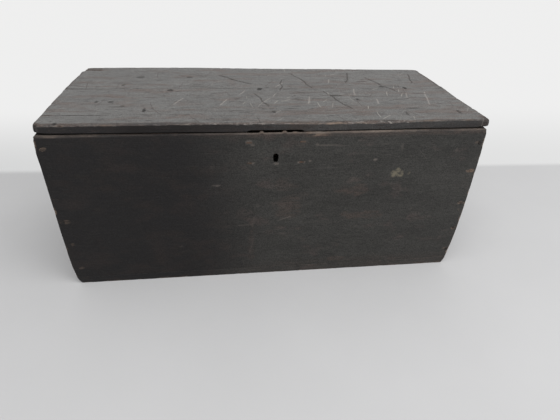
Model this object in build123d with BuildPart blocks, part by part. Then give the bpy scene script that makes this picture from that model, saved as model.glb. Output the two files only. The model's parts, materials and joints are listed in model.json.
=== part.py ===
from build123d import *

import os

# A painted pine storage chest: plank carcass, two-board lid on strap hinges, and a chest lock.
# Millimetres. X runs along the front from left to right, Y from the front to the back and Z up.
# The origin is the middle of the base, on the floor.

# Carcass
body_width = 1000
body_depth = 442
rim_height = 400
board = 22
bottom_thick = 20
bottom_joint_y = 14
arris = 3

# Lid
lid_thick = 20
lid_gap = 1
lid_length = 999
lid_front_setback = 5
lid_back_overhang = 1.5
lid_joint_y = 29
lid_top_arris = 4
lid_low_arris = 2
batten_width = 42
batten_thick = 18
batten_length = 372
batten_x = 446
batten_y = -7

# Hinges
hinge_x = 330
strap_width = 30
strap_thick = 3
strap_reach = 320
strap_tip_width = 18
back_strap_drop = 140
back_tip_width = 20
finial_radius = 13
eye_radius = 6
pin_radius = 3
pin_clearance = 0.05
pin_overhang = 2
knuckle_gap = 0.5
strap_notch_clearance = 1.5

# Lock
lock_x = 3
keyhole_z = 339
keyhole_width = 12
keyhole_height = 21
recess_width = 122
recess_depth = 4
recess_lip = 2.5
plate_width = 120
plate_drop = 90
plate_thick = 2.5
plate_corner = 12
flange_thick = 2
flange_reach = 18
bolt_z = 372
bolt_height = 12
bolt_deep = 7
bolt_length = 82
bolt_end_offset = 19
bolt_clearance = 0.4
talon_width = 7
talon_deep = 4
talon_offsets = (-24, -10)
guide_wide = 8
guide_wall = 3
guide_offsets = {"bolt_guide_outer": -42, "bolt_guide_inner": 11, "bolt_keeper": 39}
cap_width = 50
cap_wall = 2
cap_deep = 17
cap_high = 42
cap_below_bolt = 7
cap_foot = 11
rivet_radius = 2.5
rivet_rise = 1.6
rivet_spacing = 26
spring_thick = 1.2
spring_wide = 6
spring_rise = 6
spring_clearance = 0.3
stud_size = 6
stud_overreach = 4

# Staple under the lid
staple_offset = 29
staple_wide = 7
staple_bar = 3.5
staple_clearance = 2.5
staple_plate_thick = 2
staple_plate_width = 58
staple_plate_deep = 22
staple_nail_offset = 20
eye_slack_y = 1.2
eye_slack_z = 2

# Till, the open tray for small things at the left end
till_width = 120
till_board = 10
till_bottom_z = 285
till_top_z = 378
housing = 6

# Nails
nail_taper = 1.2
carcass_nail = {"head": 9, "shank": 4, "head_thick": 2}
sunk_nail = {"head": 6, "shank": 3.5, "head_thick": 2}
lock_nail = {"head": 8, "shank": 3, "head_thick": 2}
strap_nail = {"head": 8, "shank": 3, "head_thick": 1.5}
small_nail = {"head": 7, "shank": 3, "head_thick": 1.5}
flange_nail = {"head": 6, "shank": 2.5, "head_thick": 1.5}
front_nail_length = 52
bottom_nail_length = 56
batten_nail_length = 29
flange_nail_length = 22
back_strap_nail_length = 21
lid_strap_nail_length = 17
staple_nail_length = 14
side_nail_heights = {"left": (370, 308, 247, 186, 121, 48), "right": (365, 291, 198, 120, 48)}
side_nail_inset = 12
low_nail_inset = 14
low_nail_z = 100
bottom_nail_xs = (-420, -265, -110, 55, 210, 330, 440)
bottom_nail_ys = (-125, -55, 75, 140)
end_nail_inset = 19
end_nail_sunk = 3
back_strap_nail_drops = (34, 68, 104, 140)
lid_strap_nail_ys = (176, 120, 64, 8, -46, -93)
batten_nail_ys = (-165, -85, -10, 70, 150)
lock_nail_offset = 55
lock_nail_zs = (327, 377)
flange_nail_xs = (-29, 22)
clench_length = 12
clench_deep = 1.5

half_width = body_width / 2
front_y = -body_depth / 2
back_y = body_depth / 2
inner_x = half_width - board
inner_front_y = front_y + board
inner_back_y = back_y - board
lid_z = rim_height + lid_gap
lid_front_y = front_y + lid_front_setback
lid_back_y = back_y + lid_back_overhang
down = (0, 0, -1)
up = (0, 0, 1)

os.makedirs("parts", exist_ok=True)


def keep(part, name):
    """Labels one finished piece and writes it as its own file."""
    part.label = name
    export_step(part, f"parts/{name}.step")


def nails(places, length, head, shank, head_thick):
    """Forged nails, one for each plane: its origin is on the head and its Z axis points away from the tip."""
    with BuildPart() as group:
        for place in places:
            with BuildSketch(place):
                Rectangle(head, head)
            extrude(amount=-head_thick)
            with BuildSketch(place.offset(-head_thick)):
                Rectangle(shank, shank)
            extrude(amount=-length, taper=nail_taper)
    return group.part


def facing(x, y, z, direction):
    """A plane at a point, with its Z axis along a direction."""
    x_dir = (0, 1, 0) if abs(direction[2]) == 1 else (0, 0, 1)
    return Plane(origin=(x, y, z), x_dir=x_dir, z_dir=direction)


# Nails through the front and back boards into the end boards
corner_nails = {}
for side, sign in (("left", -1), ("right", 1)):
    for face, y in (("front", front_y), ("back", back_y)):
        out = (0, -1 if face == "front" else 1, 0)
        spots = []
        for height in side_nail_heights[side]:
            inset = low_nail_inset if height < low_nail_z else side_nail_inset
            spots.append(facing(sign * (half_width - inset), y, height, out))
        corner_nails[face, side] = nails(spots, front_nail_length, **carcass_nail)
        keep(corner_nails[face, side], f"{face}_nails_{side}")

# Nails up through the bottom planks, those at the ends sunk below the wood
end_nail_x = half_width - end_nail_inset
sunk_depth = bottom_nail_length - end_nail_sunk
bottom_nails = {}
end_points = {}
for plank, nail_y, sign in (("front", front_y + board / 2, -1), ("rear", back_y - board / 2, 1)):
    ys = [y for y in bottom_nail_ys if (y - bottom_joint_y) * sign > 0]
    end_points[plank] = [(x, y) for x in (-end_nail_x, end_nail_x) for y in ys]
    flush_places = [facing(x, nail_y, 0, down) for x in bottom_nail_xs]
    flush_nails = nails(flush_places, bottom_nail_length, **carcass_nail)
    sunk_places = [facing(x, y, end_nail_sunk, down) for x, y in end_points[plank]]
    sunk_nails = nails(sunk_places, sunk_depth, **sunk_nail)
    with BuildPart() as plank_nails:
        add(flush_nails)
        add(sunk_nails)
    bottom_nails[plank] = plank_nails.part
    keep(bottom_nails[plank], f"bottom_nails_{plank}")

# The outside of the carcass: a block whose lower ends are worn away by dragging and whose arrises are eased
with BuildPart() as worn_outside:
    with BuildSketch(Plane.XZ.offset(-back_y)) as worn_profile:
        with BuildLine():
            Polyline(
                (-486, 0),
                (-half_width, 58),
                (-half_width, 350),
                (-494, rim_height),
                (492, rim_height),
                (half_width, 345),
                (half_width, 160),
                (488, 30),
                (483, 0),
                close=True,
            )
        make_face()
        upper_bends = worn_profile.vertices().filter_by_position(Axis.Y, 300, rim_height - 20)
        lower_bends = worn_profile.vertices().filter_by_position(Axis.Y, 20, 200)
        fillet(upper_bends, radius=180)
        fillet(lower_bends, radius=60)
        fillet(worn_profile.vertices().group_by(Axis.Y)[-1], radius=arris + 1)
        fillet(worn_profile.vertices().group_by(Axis.Y)[0], radius=arris + 2)
    extrude(amount=body_depth)
    fillet(worn_outside.faces().filter_by(Axis.Y).edges(), radius=arris)

# The till's two boards, let into housings in the front and back boards
till_side_x = -inner_x + till_width + till_board / 2
till_span = inner_back_y - inner_front_y + 2 * housing
with BuildPart() as till_side:
    with Locations((till_side_x, 0, (till_bottom_z + till_top_z) / 2)):
        Box(till_board, till_span, till_top_z - till_bottom_z)
    fillet(till_side.faces().sort_by(Axis.Z)[-1].edges().filter_by(Axis.Y), radius=2.5)
keep(till_side.part, "till_side")

with BuildPart() as till_bottom:
    with Locations((-inner_x + (till_width - housing) / 2, 0, till_bottom_z + till_board / 2)):
        Box(till_width + housing, till_span, till_board)
keep(till_bottom.part, "till_bottom")

# The lock's plate: a sheet on the inside of the front board, bent over the rim into a shallow recess
plate_y = inner_front_y + plate_thick
flange_z = rim_height - recess_depth
keyhole_top = keyhole_width / 2


def keyhole_cut(from_y, to_y):
    """The keyhole as a solid from one Y to another: round at the top and square at the bottom."""
    with BuildPart() as cut:
        with BuildSketch(Plane.XZ.offset(-to_y)):
            with Locations((lock_x, keyhole_z + keyhole_height / 2 - keyhole_top)):
                Circle(keyhole_top)
            with Locations((lock_x, keyhole_z - keyhole_top / 2)):
                Rectangle(keyhole_width, keyhole_height - keyhole_top)
        extrude(amount=to_y - from_y)
    return cut.part


board_keyhole = keyhole_cut(front_y - 1, inner_front_y + 1)
plate_keyhole = keyhole_cut(inner_front_y - 1, plate_y + 1)

lock_nail_length = board + plate_thick - 0.5
lock_nail_spots = [(lock_x + side * lock_nail_offset, z) for side in (-1, 1) for z in lock_nail_zs]
lock_nail_places = [
    facing(x, plate_y + lock_nail["head_thick"], z, (0, 1, 0)) for x, z in lock_nail_spots
]
clench_shift = clench_length / 2 - 1
straight_lock_nails = nails(lock_nail_places, lock_nail_length, **lock_nail)
with BuildPart() as lock_nail_group:
    add(straight_lock_nails)
    for x, z in lock_nail_spots:
        outwards = 1 if x > lock_x else -1
        with Locations((x + outwards * clench_shift, front_y + clench_deep / 2, z)):
            Box(clench_length, clench_deep, lock_nail["shank"])
lock_nails = lock_nail_group.part
keep(lock_nails, "lock_nails")

flange_head_z = flange_z + flange_thick + flange_nail["head_thick"]
flange_nail_places = [facing(x, front_y + board / 2, flange_head_z, up) for x in flange_nail_xs]
flange_nails = nails(flange_nail_places, flange_nail_length, **flange_nail)
keep(flange_nails, "flange_nails")

with BuildPart() as lock_plate:
    with Locations((lock_x, inner_front_y + plate_thick / 2, flange_z + flange_thick - plate_drop / 2)):
        Box(plate_width, plate_thick, plate_drop)
    chamfer(lock_plate.faces().sort_by(Axis.Z)[0].edges().filter_by(Axis.Y), length=plate_corner)
    with Locations((lock_x, plate_y - (flange_reach + plate_thick) / 2, flange_z + flange_thick / 2)):
        Box(plate_width, flange_reach + plate_thick, flange_thick)
    add(plate_keyhole, mode=Mode.SUBTRACT)
    add(lock_nails, mode=Mode.SUBTRACT)
    add(flange_nails, mode=Mode.SUBTRACT)
keep(lock_plate.part, "lock_plate")

# The bolt, with two talons below for the key's bit
bolt_y = plate_y + staple_clearance + staple_bar + eye_slack_y + bolt_deep / 2
bolt_end_x = lock_x + bolt_end_offset
bolt_low_z = bolt_z - bolt_height / 2
with BuildPart() as lock_bolt:
    with Locations((bolt_end_x - bolt_length / 2, bolt_y, bolt_z)):
        Box(bolt_length, bolt_deep, bolt_height)
    fillet(lock_bolt.faces().sort_by(Axis.X)[-1].edges(), radius=1)
    with Locations(*[(lock_x + x, bolt_y, bolt_low_z) for x in talon_offsets]):
        Box(talon_width, bolt_deep, 2 * talon_deep, mode=Mode.SUBTRACT)
keep(lock_bolt.part, "lock_bolt")

# The guides that hold the bolt, each a forged bridge riveted to the plate
slot_deep = bolt_deep + 2 * bolt_clearance
slot_high = bolt_height + 2 * bolt_clearance
guide_deep = bolt_y + slot_deep / 2 + guide_wall - plate_y
for name, x in guide_offsets.items():
    with BuildPart() as guide:
        with Locations((lock_x + x, plate_y + guide_deep / 2, bolt_z)):
            Box(guide_wide, guide_deep, slot_high + 2 * guide_wall)
        with Locations((lock_x + x, bolt_y, bolt_z)):
            Box(guide_wide, slot_deep, slot_high, mode=Mode.SUBTRACT)
        fillet(guide.faces().sort_by(Axis.Y)[-1].edges().filter_by(Axis.X), radius=1.5)
    keep(guide.part, name)

# The cap over the key's path, open above to the bolt and held by two feet
cap_top_z = bolt_low_z - cap_below_bolt
cap_bottom_z = cap_top_z - cap_high
with BuildPart() as lock_cap:
    with BuildSketch(Plane.XY.offset(cap_bottom_z)):
        with Locations((lock_x, plate_y + cap_deep / 2)):
            Rectangle(cap_width, cap_deep)
        with Locations((lock_x, plate_y + (cap_deep - cap_wall) / 2)):
            Rectangle(cap_width - 2 * cap_wall, cap_deep - cap_wall, mode=Mode.SUBTRACT)
        with Locations((lock_x, plate_y + cap_wall / 2)):
            with GridLocations(cap_width + cap_foot, 1, 2, 1):
                Rectangle(cap_foot, cap_wall)
    extrude(amount=cap_high)
    with BuildSketch(Plane.XY.offset(cap_bottom_z)):
        with Locations((lock_x, plate_y + cap_deep / 2)):
            Rectangle(cap_width, cap_deep)
    extrude(amount=cap_wall)
keep(lock_cap.part, "lock_cap")

# Rivets: two for each foot of the cap, seen as low domes
with BuildPart() as cap_rivets:
    with Locations(Plane.XZ.offset(-plate_y - cap_wall)):
        with Locations((lock_x, (cap_bottom_z + cap_top_z) / 2)):
            with GridLocations(cap_width + cap_foot, rivet_spacing, 2, 2):
                Cylinder(rivet_radius, rivet_rise, align=(Align.CENTER, Align.CENTER, Align.MAX))
    fillet(cap_rivets.faces().filter_by(Axis.Y).group_by(Axis.Y)[-1].edges(), radius=1)
keep(cap_rivets.part, "cap_rivets")

# The leaf spring that presses on the bolt, and the stud that holds it
spring_low_z = bolt_z + bolt_height / 2 + spring_clearance
spring_left = lock_x - 36
spring_right = lock_x + 2
with BuildPart() as bolt_spring:
    with BuildSketch(Plane.XZ.offset(-(bolt_y + spring_wide / 2))):
        with BuildLine():
            middle = (spring_left + spring_right) / 2
            low = ThreePointArc(
                (spring_left, spring_low_z + spring_rise),
                (middle, spring_low_z),
                (spring_right, spring_low_z + spring_rise),
            )
            high = ThreePointArc(
                (spring_left, spring_low_z + spring_rise + spring_thick),
                (middle, spring_low_z + spring_thick),
                (spring_right, spring_low_z + spring_rise + spring_thick),
            )
            Line(low @ 0, high @ 0)
            Line(low @ 1, high @ 1)
        make_face()
    extrude(amount=spring_wide)
keep(bolt_spring.part, "bolt_spring")

stud_deep = bolt_y + stud_overreach - plate_y
stud_z = spring_low_z + spring_rise + 0.5
with BuildPart() as spring_stud:
    with Locations((spring_left - stud_size / 2, plate_y + stud_deep / 2, stud_z)):
        Box(stud_size, stud_deep, stud_size)
    fillet(spring_stud.faces().sort_by(Axis.Y)[-1].edges(), radius=1)
keep(spring_stud.part, "spring_stud")

# The staple under the lid, whose eye takes the bolt
staple_x = lock_x + staple_offset
staple_plate_y = bolt_y + 2
eye_deep = bolt_deep + 2 * eye_slack_y
eye_high = bolt_height + 2 * eye_slack_z
staple_head_z = lid_z - staple_plate_thick - small_nail["head_thick"]
staple_nail_places = [
    facing(staple_x + side * staple_nail_offset, staple_plate_y, staple_head_z, down) for side in (-1, 1)
]
staple_nails = nails(staple_nail_places, staple_nail_length, **small_nail)
keep(staple_nails, "staple_nails")

loop_top_z = lid_z - staple_plate_thick
loop_low_z = bolt_z - eye_high / 2 - staple_bar
with BuildPart() as lid_staple:
    with Locations((staple_x, staple_plate_y, lid_z - staple_plate_thick / 2)):
        Box(staple_plate_width, staple_plate_deep, staple_plate_thick)
    fillet(lid_staple.edges().filter_by(Axis.Z), radius=4)
    with Locations((staple_x, bolt_y, (loop_low_z + loop_top_z) / 2)):
        Box(staple_wide, eye_deep + 2 * staple_bar, loop_top_z - loop_low_z)
    fillet(lid_staple.faces().sort_by(Axis.Z)[0].edges().filter_by(Axis.X), radius=3)
    with Locations((staple_x, bolt_y, bolt_z)):
        Box(staple_wide, eye_deep, eye_high, mode=Mode.SUBTRACT)
    add(staple_nails, mode=Mode.SUBTRACT)
keep(lid_staple.part, "lid_staple")

# Hinges: a long strap under the lid and a short one down the back, rolled round one pin
pin_y = back_y + eye_radius
pin_z = lid_z - eye_radius
knuckle = strap_width / 3
clear = eye_radius + knuckle_gap
under_lid = lid_z - strap_thick
lid_strap_head_z = under_lid - strap_nail["head_thick"]
back_strap_head_y = back_y + strap_thick + strap_nail["head_thick"]
tip_y = pin_y - strap_reach
foot_z = pin_z - back_strap_drop
half_strap = strap_width / 2
lid_strap_nails, back_strap_nails = {}, {}
for side, sign in (("left", -1), ("right", 1)):
    x = sign * hinge_x
    lid_places = [facing(x, y, lid_strap_head_z, down) for y in lid_strap_nail_ys]
    lid_strap_nails[side] = nails(lid_places, lid_strap_nail_length, **strap_nail)
    keep(lid_strap_nails[side], f"lid_strap_nails_{side}")
    back_places = [facing(x, back_strap_head_y, pin_z - drop, (0, 1, 0)) for drop in back_strap_nail_drops]
    back_strap_nails[side] = nails(back_places, back_strap_nail_length, **strap_nail)
    keep(back_strap_nails[side], f"back_strap_nails_{side}")

    with BuildPart() as lid_strap:
        with BuildSketch(Plane.XY.offset(under_lid)):
            with BuildLine():
                Polyline(
                    (x - half_strap, pin_y),
                    (x - half_strap, inner_back_y - 10),
                    (x - strap_tip_width / 2, tip_y),
                    (x + strap_tip_width / 2, tip_y),
                    (x + half_strap, inner_back_y - 10),
                    (x + half_strap, pin_y),
                    close=True,
                )
            make_face()
            with Locations((x, tip_y)):
                Circle(finial_radius)
        extrude(amount=strap_thick)
        with Locations(Location((x, pin_y, pin_z), (0, 90, 0))):
            Cylinder(eye_radius, knuckle - 2 * knuckle_gap)
        with Locations(*[(x + s * knuckle, pin_y, pin_z) for s in (-1, 1)]):
            Box(knuckle + 2 * knuckle_gap, 2 * clear, 2 * clear, mode=Mode.SUBTRACT)
        with Locations(Location((x, pin_y, pin_z), (0, 90, 0))):
            Cylinder(pin_radius + pin_clearance, strap_width, mode=Mode.SUBTRACT)
        add(lid_strap_nails[side], mode=Mode.SUBTRACT)
    keep(lid_strap.part, f"lid_strap_{side}")

    with BuildPart() as back_strap:
        with BuildSketch(Plane.XZ.offset(-(back_y + strap_thick))):
            with BuildLine():
                Polyline(
                    (x - half_strap, pin_z),
                    (x - half_strap, pin_z - 20),
                    (x - back_tip_width / 2, foot_z),
                    (x + back_tip_width / 2, foot_z),
                    (x + half_strap, pin_z - 20),
                    (x + half_strap, pin_z),
                    close=True,
                )
            make_face()
            with Locations((x, foot_z)):
                Circle(finial_radius)
        extrude(amount=strap_thick)
        with Locations(*[Location((x + s * knuckle, pin_y, pin_z), (0, 90, 0)) for s in (-1, 1)]):
            Cylinder(eye_radius, knuckle)
        with Locations((x, pin_y, pin_z)):
            Box(knuckle, 2 * clear, 2 * clear, mode=Mode.SUBTRACT)
        with Locations(Location((x, pin_y, pin_z), (0, 90, 0))):
            Cylinder(pin_radius, strap_width, mode=Mode.SUBTRACT)
        add(back_strap_nails[side], mode=Mode.SUBTRACT)
    keep(back_strap.part, f"back_strap_{side}")

    with BuildPart() as hinge_pin:
        with Locations(Location((x, pin_y, pin_z), (0, 90, 0))):
            Cylinder(pin_radius, strap_width + 2 * pin_overhang)
        fillet(hinge_pin.edges(), radius=1)
    keep(hinge_pin.part, f"hinge_pin_{side}")

# Front board, with the keyhole, the recess for the lock's flange behind a thin lip, and the till's housings
wall_high = rim_height - bottom_thick
wall_middle_z = (bottom_thick + rim_height) / 2
recess_middle_y = (front_y + recess_lip + inner_front_y) / 2
with BuildPart() as front_board:
    with Locations((0, front_y + board / 2, wall_middle_z)):
        Box(body_width, board, wall_high)
    add(worn_outside.part, mode=Mode.INTERSECT)
    with Locations((lock_x, recess_middle_y, rim_height)):
        Box(recess_width, board - recess_lip, 2 * recess_depth, mode=Mode.SUBTRACT)
    add(board_keyhole, mode=Mode.SUBTRACT)
    for cut in (till_side.part, till_bottom.part, lock_nails, flange_nails, bottom_nails["front"]):
        add(cut, mode=Mode.SUBTRACT)
    for side in ("left", "right"):
        add(corner_nails["front", side], mode=Mode.SUBTRACT)
keep(front_board.part, "front_board")

# Back board, notched at the rim for the lid straps
notch_width = strap_width + 2 * strap_notch_clearance
notch_deep = strap_thick - lid_gap + 0.5
with BuildPart() as back_board:
    with Locations((0, back_y - board / 2, wall_middle_z)):
        Box(body_width, board, wall_high)
    add(worn_outside.part, mode=Mode.INTERSECT)
    with Locations(*[(sign * hinge_x, back_y - board / 2, rim_height - notch_deep / 2) for sign in (-1, 1)]):
        Box(notch_width, board, notch_deep, mode=Mode.SUBTRACT)
    for cut in (till_side.part, till_bottom.part, bottom_nails["rear"], *back_strap_nails.values()):
        add(cut, mode=Mode.SUBTRACT)
    for side in ("left", "right"):
        add(corner_nails["back", side], mode=Mode.SUBTRACT)
keep(back_board.part, "back_board")

# End boards, between the front and back boards
for side, sign in (("left", -1), ("right", 1)):
    with BuildPart() as end_board:
        with Locations((sign * (half_width - board / 2), 0, wall_middle_z)):
            Box(board, inner_back_y - inner_front_y, wall_high)
        add(worn_outside.part, mode=Mode.INTERSECT)
        for cut in (corner_nails["front", side], corner_nails["back", side], *bottom_nails.values()):
            add(cut, mode=Mode.SUBTRACT)
        if side == "left":
            add(till_bottom.part, mode=Mode.SUBTRACT)
    keep(end_board.part, f"end_board_{side}")

# Bottom planks, nailed on from below, flush with the carcass
for plank, low_y, high_y in (("front", front_y, bottom_joint_y), ("rear", bottom_joint_y, back_y)):
    with BuildPart() as bottom_plank:
        with Locations((0, (low_y + high_y) / 2, bottom_thick / 2)):
            Box(body_width, high_y - low_y, bottom_thick)
        add(worn_outside.part, mode=Mode.INTERSECT)
        add(bottom_nails[plank], mode=Mode.SUBTRACT)
        with Locations(*[(x, y, end_nail_sunk / 2) for x, y in end_points[plank]]):
            Box(sunk_nail["head"], sunk_nail["head"], end_nail_sunk, mode=Mode.SUBTRACT)
    keep(bottom_plank.part, f"bottom_plank_{plank}")

# Battens across the underside of the lid, and their nails
batten_nails = {}
for side, sign in (("left", -1), ("right", 1)):
    places = [facing(sign * batten_x, y, lid_z - batten_thick, down) for y in batten_nail_ys]
    batten_nails[side] = nails(places, batten_nail_length, **small_nail)
    keep(batten_nails[side], f"batten_nails_{side}")
    with BuildPart() as lid_batten:
        with Locations((sign * batten_x, batten_y, lid_z - batten_thick / 2)):
            Box(batten_width, batten_length, batten_thick)
        chamfer(lid_batten.faces().sort_by(Axis.Z)[0].edges(), length=3)
        add(batten_nails[side], mode=Mode.SUBTRACT)
    keep(lid_batten.part, f"lid_batten_{side}")

# Lid: the whole outline is rounded first, then parted along the joint between its two boards
lid_corners = {(-1, -1): 16, (1, -1): 9, (1, 1): 15, (-1, 1): 22}
lid_half = lid_length / 2
lid_middle_y = (lid_front_y + lid_back_y) / 2
with BuildPart() as lid_outline:
    with Locations((0, lid_middle_y, lid_z + lid_thick / 2)):
        Box(lid_length, lid_back_y - lid_front_y, lid_thick)
    for (x_side, y_side), radius in lid_corners.items():
        corner = (x_side * lid_half, lid_middle_y + y_side * body_depth / 2, lid_z)
        fillet(lid_outline.edges().filter_by(Axis.Z).sort_by_distance(corner)[0], radius=radius)
    fillet(lid_outline.faces().sort_by(Axis.Z)[-1].edges(), radius=lid_top_arris)
    fillet(lid_outline.faces().sort_by(Axis.Z)[0].edges(), radius=lid_low_arris)

# End checks, where the boards have split along the grain: tapering cracks right through the lid
cracks = {
    "front": {"y": -160, "length": 144, "width": 2.2},
    "rear": {"y": 192, "length": 54, "width": 3.0},
}
for name, low_y, high_y in (("front", lid_front_y - 10, lid_joint_y), ("rear", lid_joint_y, lid_back_y + 10)):
    crack = cracks[name]
    with BuildPart() as lid_board:
        with Locations((0, (low_y + high_y) / 2, lid_z + lid_thick / 2)):
            Box(lid_length + 10, high_y - low_y, lid_thick + 2)
        add(lid_outline.part, mode=Mode.INTERSECT)
        with BuildSketch(Plane.XY.offset(lid_z - 1)):
            with BuildLine():
                Polyline(
                    (-lid_half - 1, crack["y"] - crack["width"] / 2),
                    (-lid_half + crack["length"], crack["y"] + 1),
                    (-lid_half - 1, crack["y"] + crack["width"] / 2),
                    close=True,
                )
            make_face()
        extrude(amount=lid_thick + 2, mode=Mode.SUBTRACT)
        for cut in (*lid_strap_nails.values(), *batten_nails.values(), staple_nails):
            add(cut, mode=Mode.SUBTRACT)
    keep(lid_board.part, f"lid_board_{name}")
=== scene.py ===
"""Dresses the painted storage chest: worn planks, forged iron, a pale floor and soft light."""

import json
import math

import bpy
import numpy as np
from mathutils import Matrix, Vector


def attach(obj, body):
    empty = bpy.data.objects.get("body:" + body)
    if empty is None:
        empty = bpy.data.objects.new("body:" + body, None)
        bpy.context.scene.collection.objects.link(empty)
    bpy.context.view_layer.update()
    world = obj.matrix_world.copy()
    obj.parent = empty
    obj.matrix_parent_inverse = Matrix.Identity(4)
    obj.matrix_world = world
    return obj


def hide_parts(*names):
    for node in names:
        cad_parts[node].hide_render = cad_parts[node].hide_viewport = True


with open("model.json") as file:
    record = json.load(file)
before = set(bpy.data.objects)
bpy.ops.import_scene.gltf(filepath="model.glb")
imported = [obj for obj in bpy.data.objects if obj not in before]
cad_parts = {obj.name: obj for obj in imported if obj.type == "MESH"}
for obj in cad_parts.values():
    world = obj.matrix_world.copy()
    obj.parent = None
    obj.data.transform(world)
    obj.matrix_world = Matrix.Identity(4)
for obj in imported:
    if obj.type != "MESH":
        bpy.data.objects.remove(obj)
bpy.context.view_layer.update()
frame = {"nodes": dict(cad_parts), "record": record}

# Sizes of the model, in millimetres
body_length = 1000.0
front_y = -221.0
back_y = 221.0
board = 22.0
bottom = 20.0
rim_z = 400.0
lid_z = 401.0
lid_thick = 20.0
lid_length = 999.0
lid_front_y = -216.0
lid_back_y = 222.5
lid_joint_y = 29.0
bottom_joint_y = 14.0
lock_x = 3.0
keyhole_z = 339.0
keyhole_radius = 6.1
nail_x = 488.0
mm = 0.001
side_x = body_length / 2
carcass_height = rim_z - bottom
inner_back = back_y - board
depth_inside = 2 * inner_back

# Outline of the carcass from the front: half width at each height, worn at the rim and the feet
left_heights = (0, 3, 8, 18, 34, 58, 90, 160, 320, 350, 385, 400)
left_reach = (483.5, 486, 489, 492, 494.8, 497, 498.2, 499.3, 500, 500.3, 500.3, 499.6)
right_heights = (0, 3, 8, 16, 32, 62, 110, 165, 200, 330, 350, 385, 400)
right_reach = (480, 483, 485, 487.5, 490.5, 494.3, 497.8, 499.4, 499.6, 499.6, 499.2, 497, 495.5)

# Plan of the lid: half length from the front to the back, and its bowed front edge from left to right
lid_left_ys = (-216, -150, -120, 20, 60, 86, 112, 140, 222)
lid_left_reach = (502.4, 501.8, 500.8, 500.2, 501.2, 501.2, 500.2, 498.2, 497.5)
lid_right_ys = (-216, -185, -145, -100, -25, 3, 60, 88, 120, 150, 222)
lid_right_reach = (502.8, 501.8, 500.2, 499, 498.8, 499.3, 499.6, 500.1, 499.2, 498.4, 498)
lid_front_xs = (-500, -440, -350, -220, -120, 0, 100, 200, 260, 330, 420, 500)
lid_front_ys = (-214.4, -214.7, -215, -215.3, -217.4, -218.4, -218, -216.8, -216.4, -215, -214.8, -213.8)
# Lift of the lid's front edge above its flat place, and the depth and height of the wear on its front arris
lift_xs = (-480, -430, -350, -100, 90, 200, 480)
lift_heights = (1.9, 1.4, 0.7, 0.4, 0.0, 0.5, 0.6)
wear_xs = (-500, -450, -365, -260, -155, -53, 51, 150, 260, 360, 400, 500)
wear_heights = (4.2, 2.8, 1.5, 1.2, 0.6, 0.6, 1.8, 3.0, 3.8, 1.2, 0.6, 0.8)
wear_depths = (9, 10, 13, 13, 9, 10, 12, 9, 7, 6, 5, 4)
# How much of the darker paint the worn arris takes along its length, as painted shade
wear_shade_tones = (0.3, 0.4, 0.4, 0.75, 0.5, 0.2, 0.35, 0.3, 0.35, 0.45, 0.5, 0.6)
# How bare and pale the front rim's arris is along its length: real wear, and a painted highlight
rim_xs = (-500, -440, -390, -360, -300, -250, -190, -140, -70, -50, 250, 290, 350, 385, 410, 440, 500)
rim_wear_and_highlight = (0.42, 0.4, 0.4, 0.16, 0.1, 0.05, 0.08, 0.18, 0.22, 0.42, 0.72, 0.35, 0.22, 0.1, 0.1, 0.25, 0.25)
recess_edges = (-60, 64)
# How far from the middle the ends start to lean to their worn outline
worn_from = 380

# Marks that the boards' points carry, from 0 to 1, which the materials read
# deep puts on a darker paint as painted shade; dark holds dark marks and painted shade too
mark_names = ("bare", "inside", "red", "pale", "dark", "deep", "wax", "nicks")

# Random tables for the noise, made once from a fixed seed; the shift keeps places in them positive
table_count = 24
table_cells = 256
table_shift = 4096
noise_tables = np.random.default_rng(1874).random((table_count, table_cells + 1, table_cells + 1))


def noise(x, y, seed, size_x, size_y=None):
    """Smooth noise from 0 to 1 over a plane, with cells of the given size."""
    table = noise_tables[seed % table_count]
    across = x / size_x + 13.7 * seed + table_shift
    along = y / (size_y or size_x) + 7.3 * seed + table_shift
    column = np.floor(across).astype(int)
    row = np.floor(along).astype(int)
    blend_x = across - column
    blend_y = along - row
    blend_x = blend_x * blend_x * (3 - 2 * blend_x)
    blend_y = blend_y * blend_y * (3 - 2 * blend_y)
    column, row = column % table_cells, row % table_cells
    low = table[row, column] * (1 - blend_x) + table[row, column + 1] * blend_x
    high = table[row + 1, column] * (1 - blend_x) + table[row + 1, column + 1] * blend_x
    return low * (1 - blend_y) + high * blend_y


def layered(x, y, seed, size_x, size_y=None, layers=4):
    """Noise of several sizes added together, from about 0.15 to 0.85."""
    size_y = size_y or size_x
    total, weight = 0.0, 0.0
    for layer in range(layers):
        share = 0.5**layer
        total += share * noise(x, y, seed + 5 * layer, size_x * share, size_y * share)
        weight += share
    return total / weight


def ease(value, start, end):
    """0 before start, 1 after end, smooth between; end may be below start."""
    part = np.clip((value - start) / (end - start), 0, 1)
    return part * part * (3 - 2 * part)


def spot(x, y, centre, reach, seed, ragged=0.5):
    """An irregular spot: 1 inside and 0 outside."""
    away = np.hypot((x - centre[0]) / reach[0], (y - centre[1]) / reach[1])
    away += ragged * (layered(x, y, seed, min(reach), layers=2) - 0.5)
    return ease(away, 1.15, 0.7)


def spots(x, y, table, seed, ragged):
    """Each spot of a table: its mark, and the mark times its strength."""
    for order, (cx, cy, rx, ry, strength) in enumerate(table):
        mark = spot(x, y, (cx, cy), (rx, ry), order + seed, ragged)
        yield mark, strength * mark


def stroke(x, y, start, end, width, seed, wander=0.0):
    """A drawn line from one point to another, thin at its ends and a little uneven."""
    run_x, run_y = end[0] - start[0], end[1] - start[1]
    length = math.hypot(run_x, run_y)
    along = ((x - start[0]) * run_x + (y - start[1]) * run_y) / length
    across = ((x - start[0]) * -run_y + (y - start[1]) * run_x) / length
    across += wander * (noise(along, 0, seed, 30) - 0.5)
    inside = np.clip(along / length, 0, 1)
    half = width / 2 * (0.45 + 1.1 * np.sqrt(inside * (1 - inside)))
    ends = ease(along, -1.5, 1.5) * ease(along, length + 1.5, length - 1.5)
    return ease(np.abs(across), half + 0.9, half * 0.4) * ends


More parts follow.
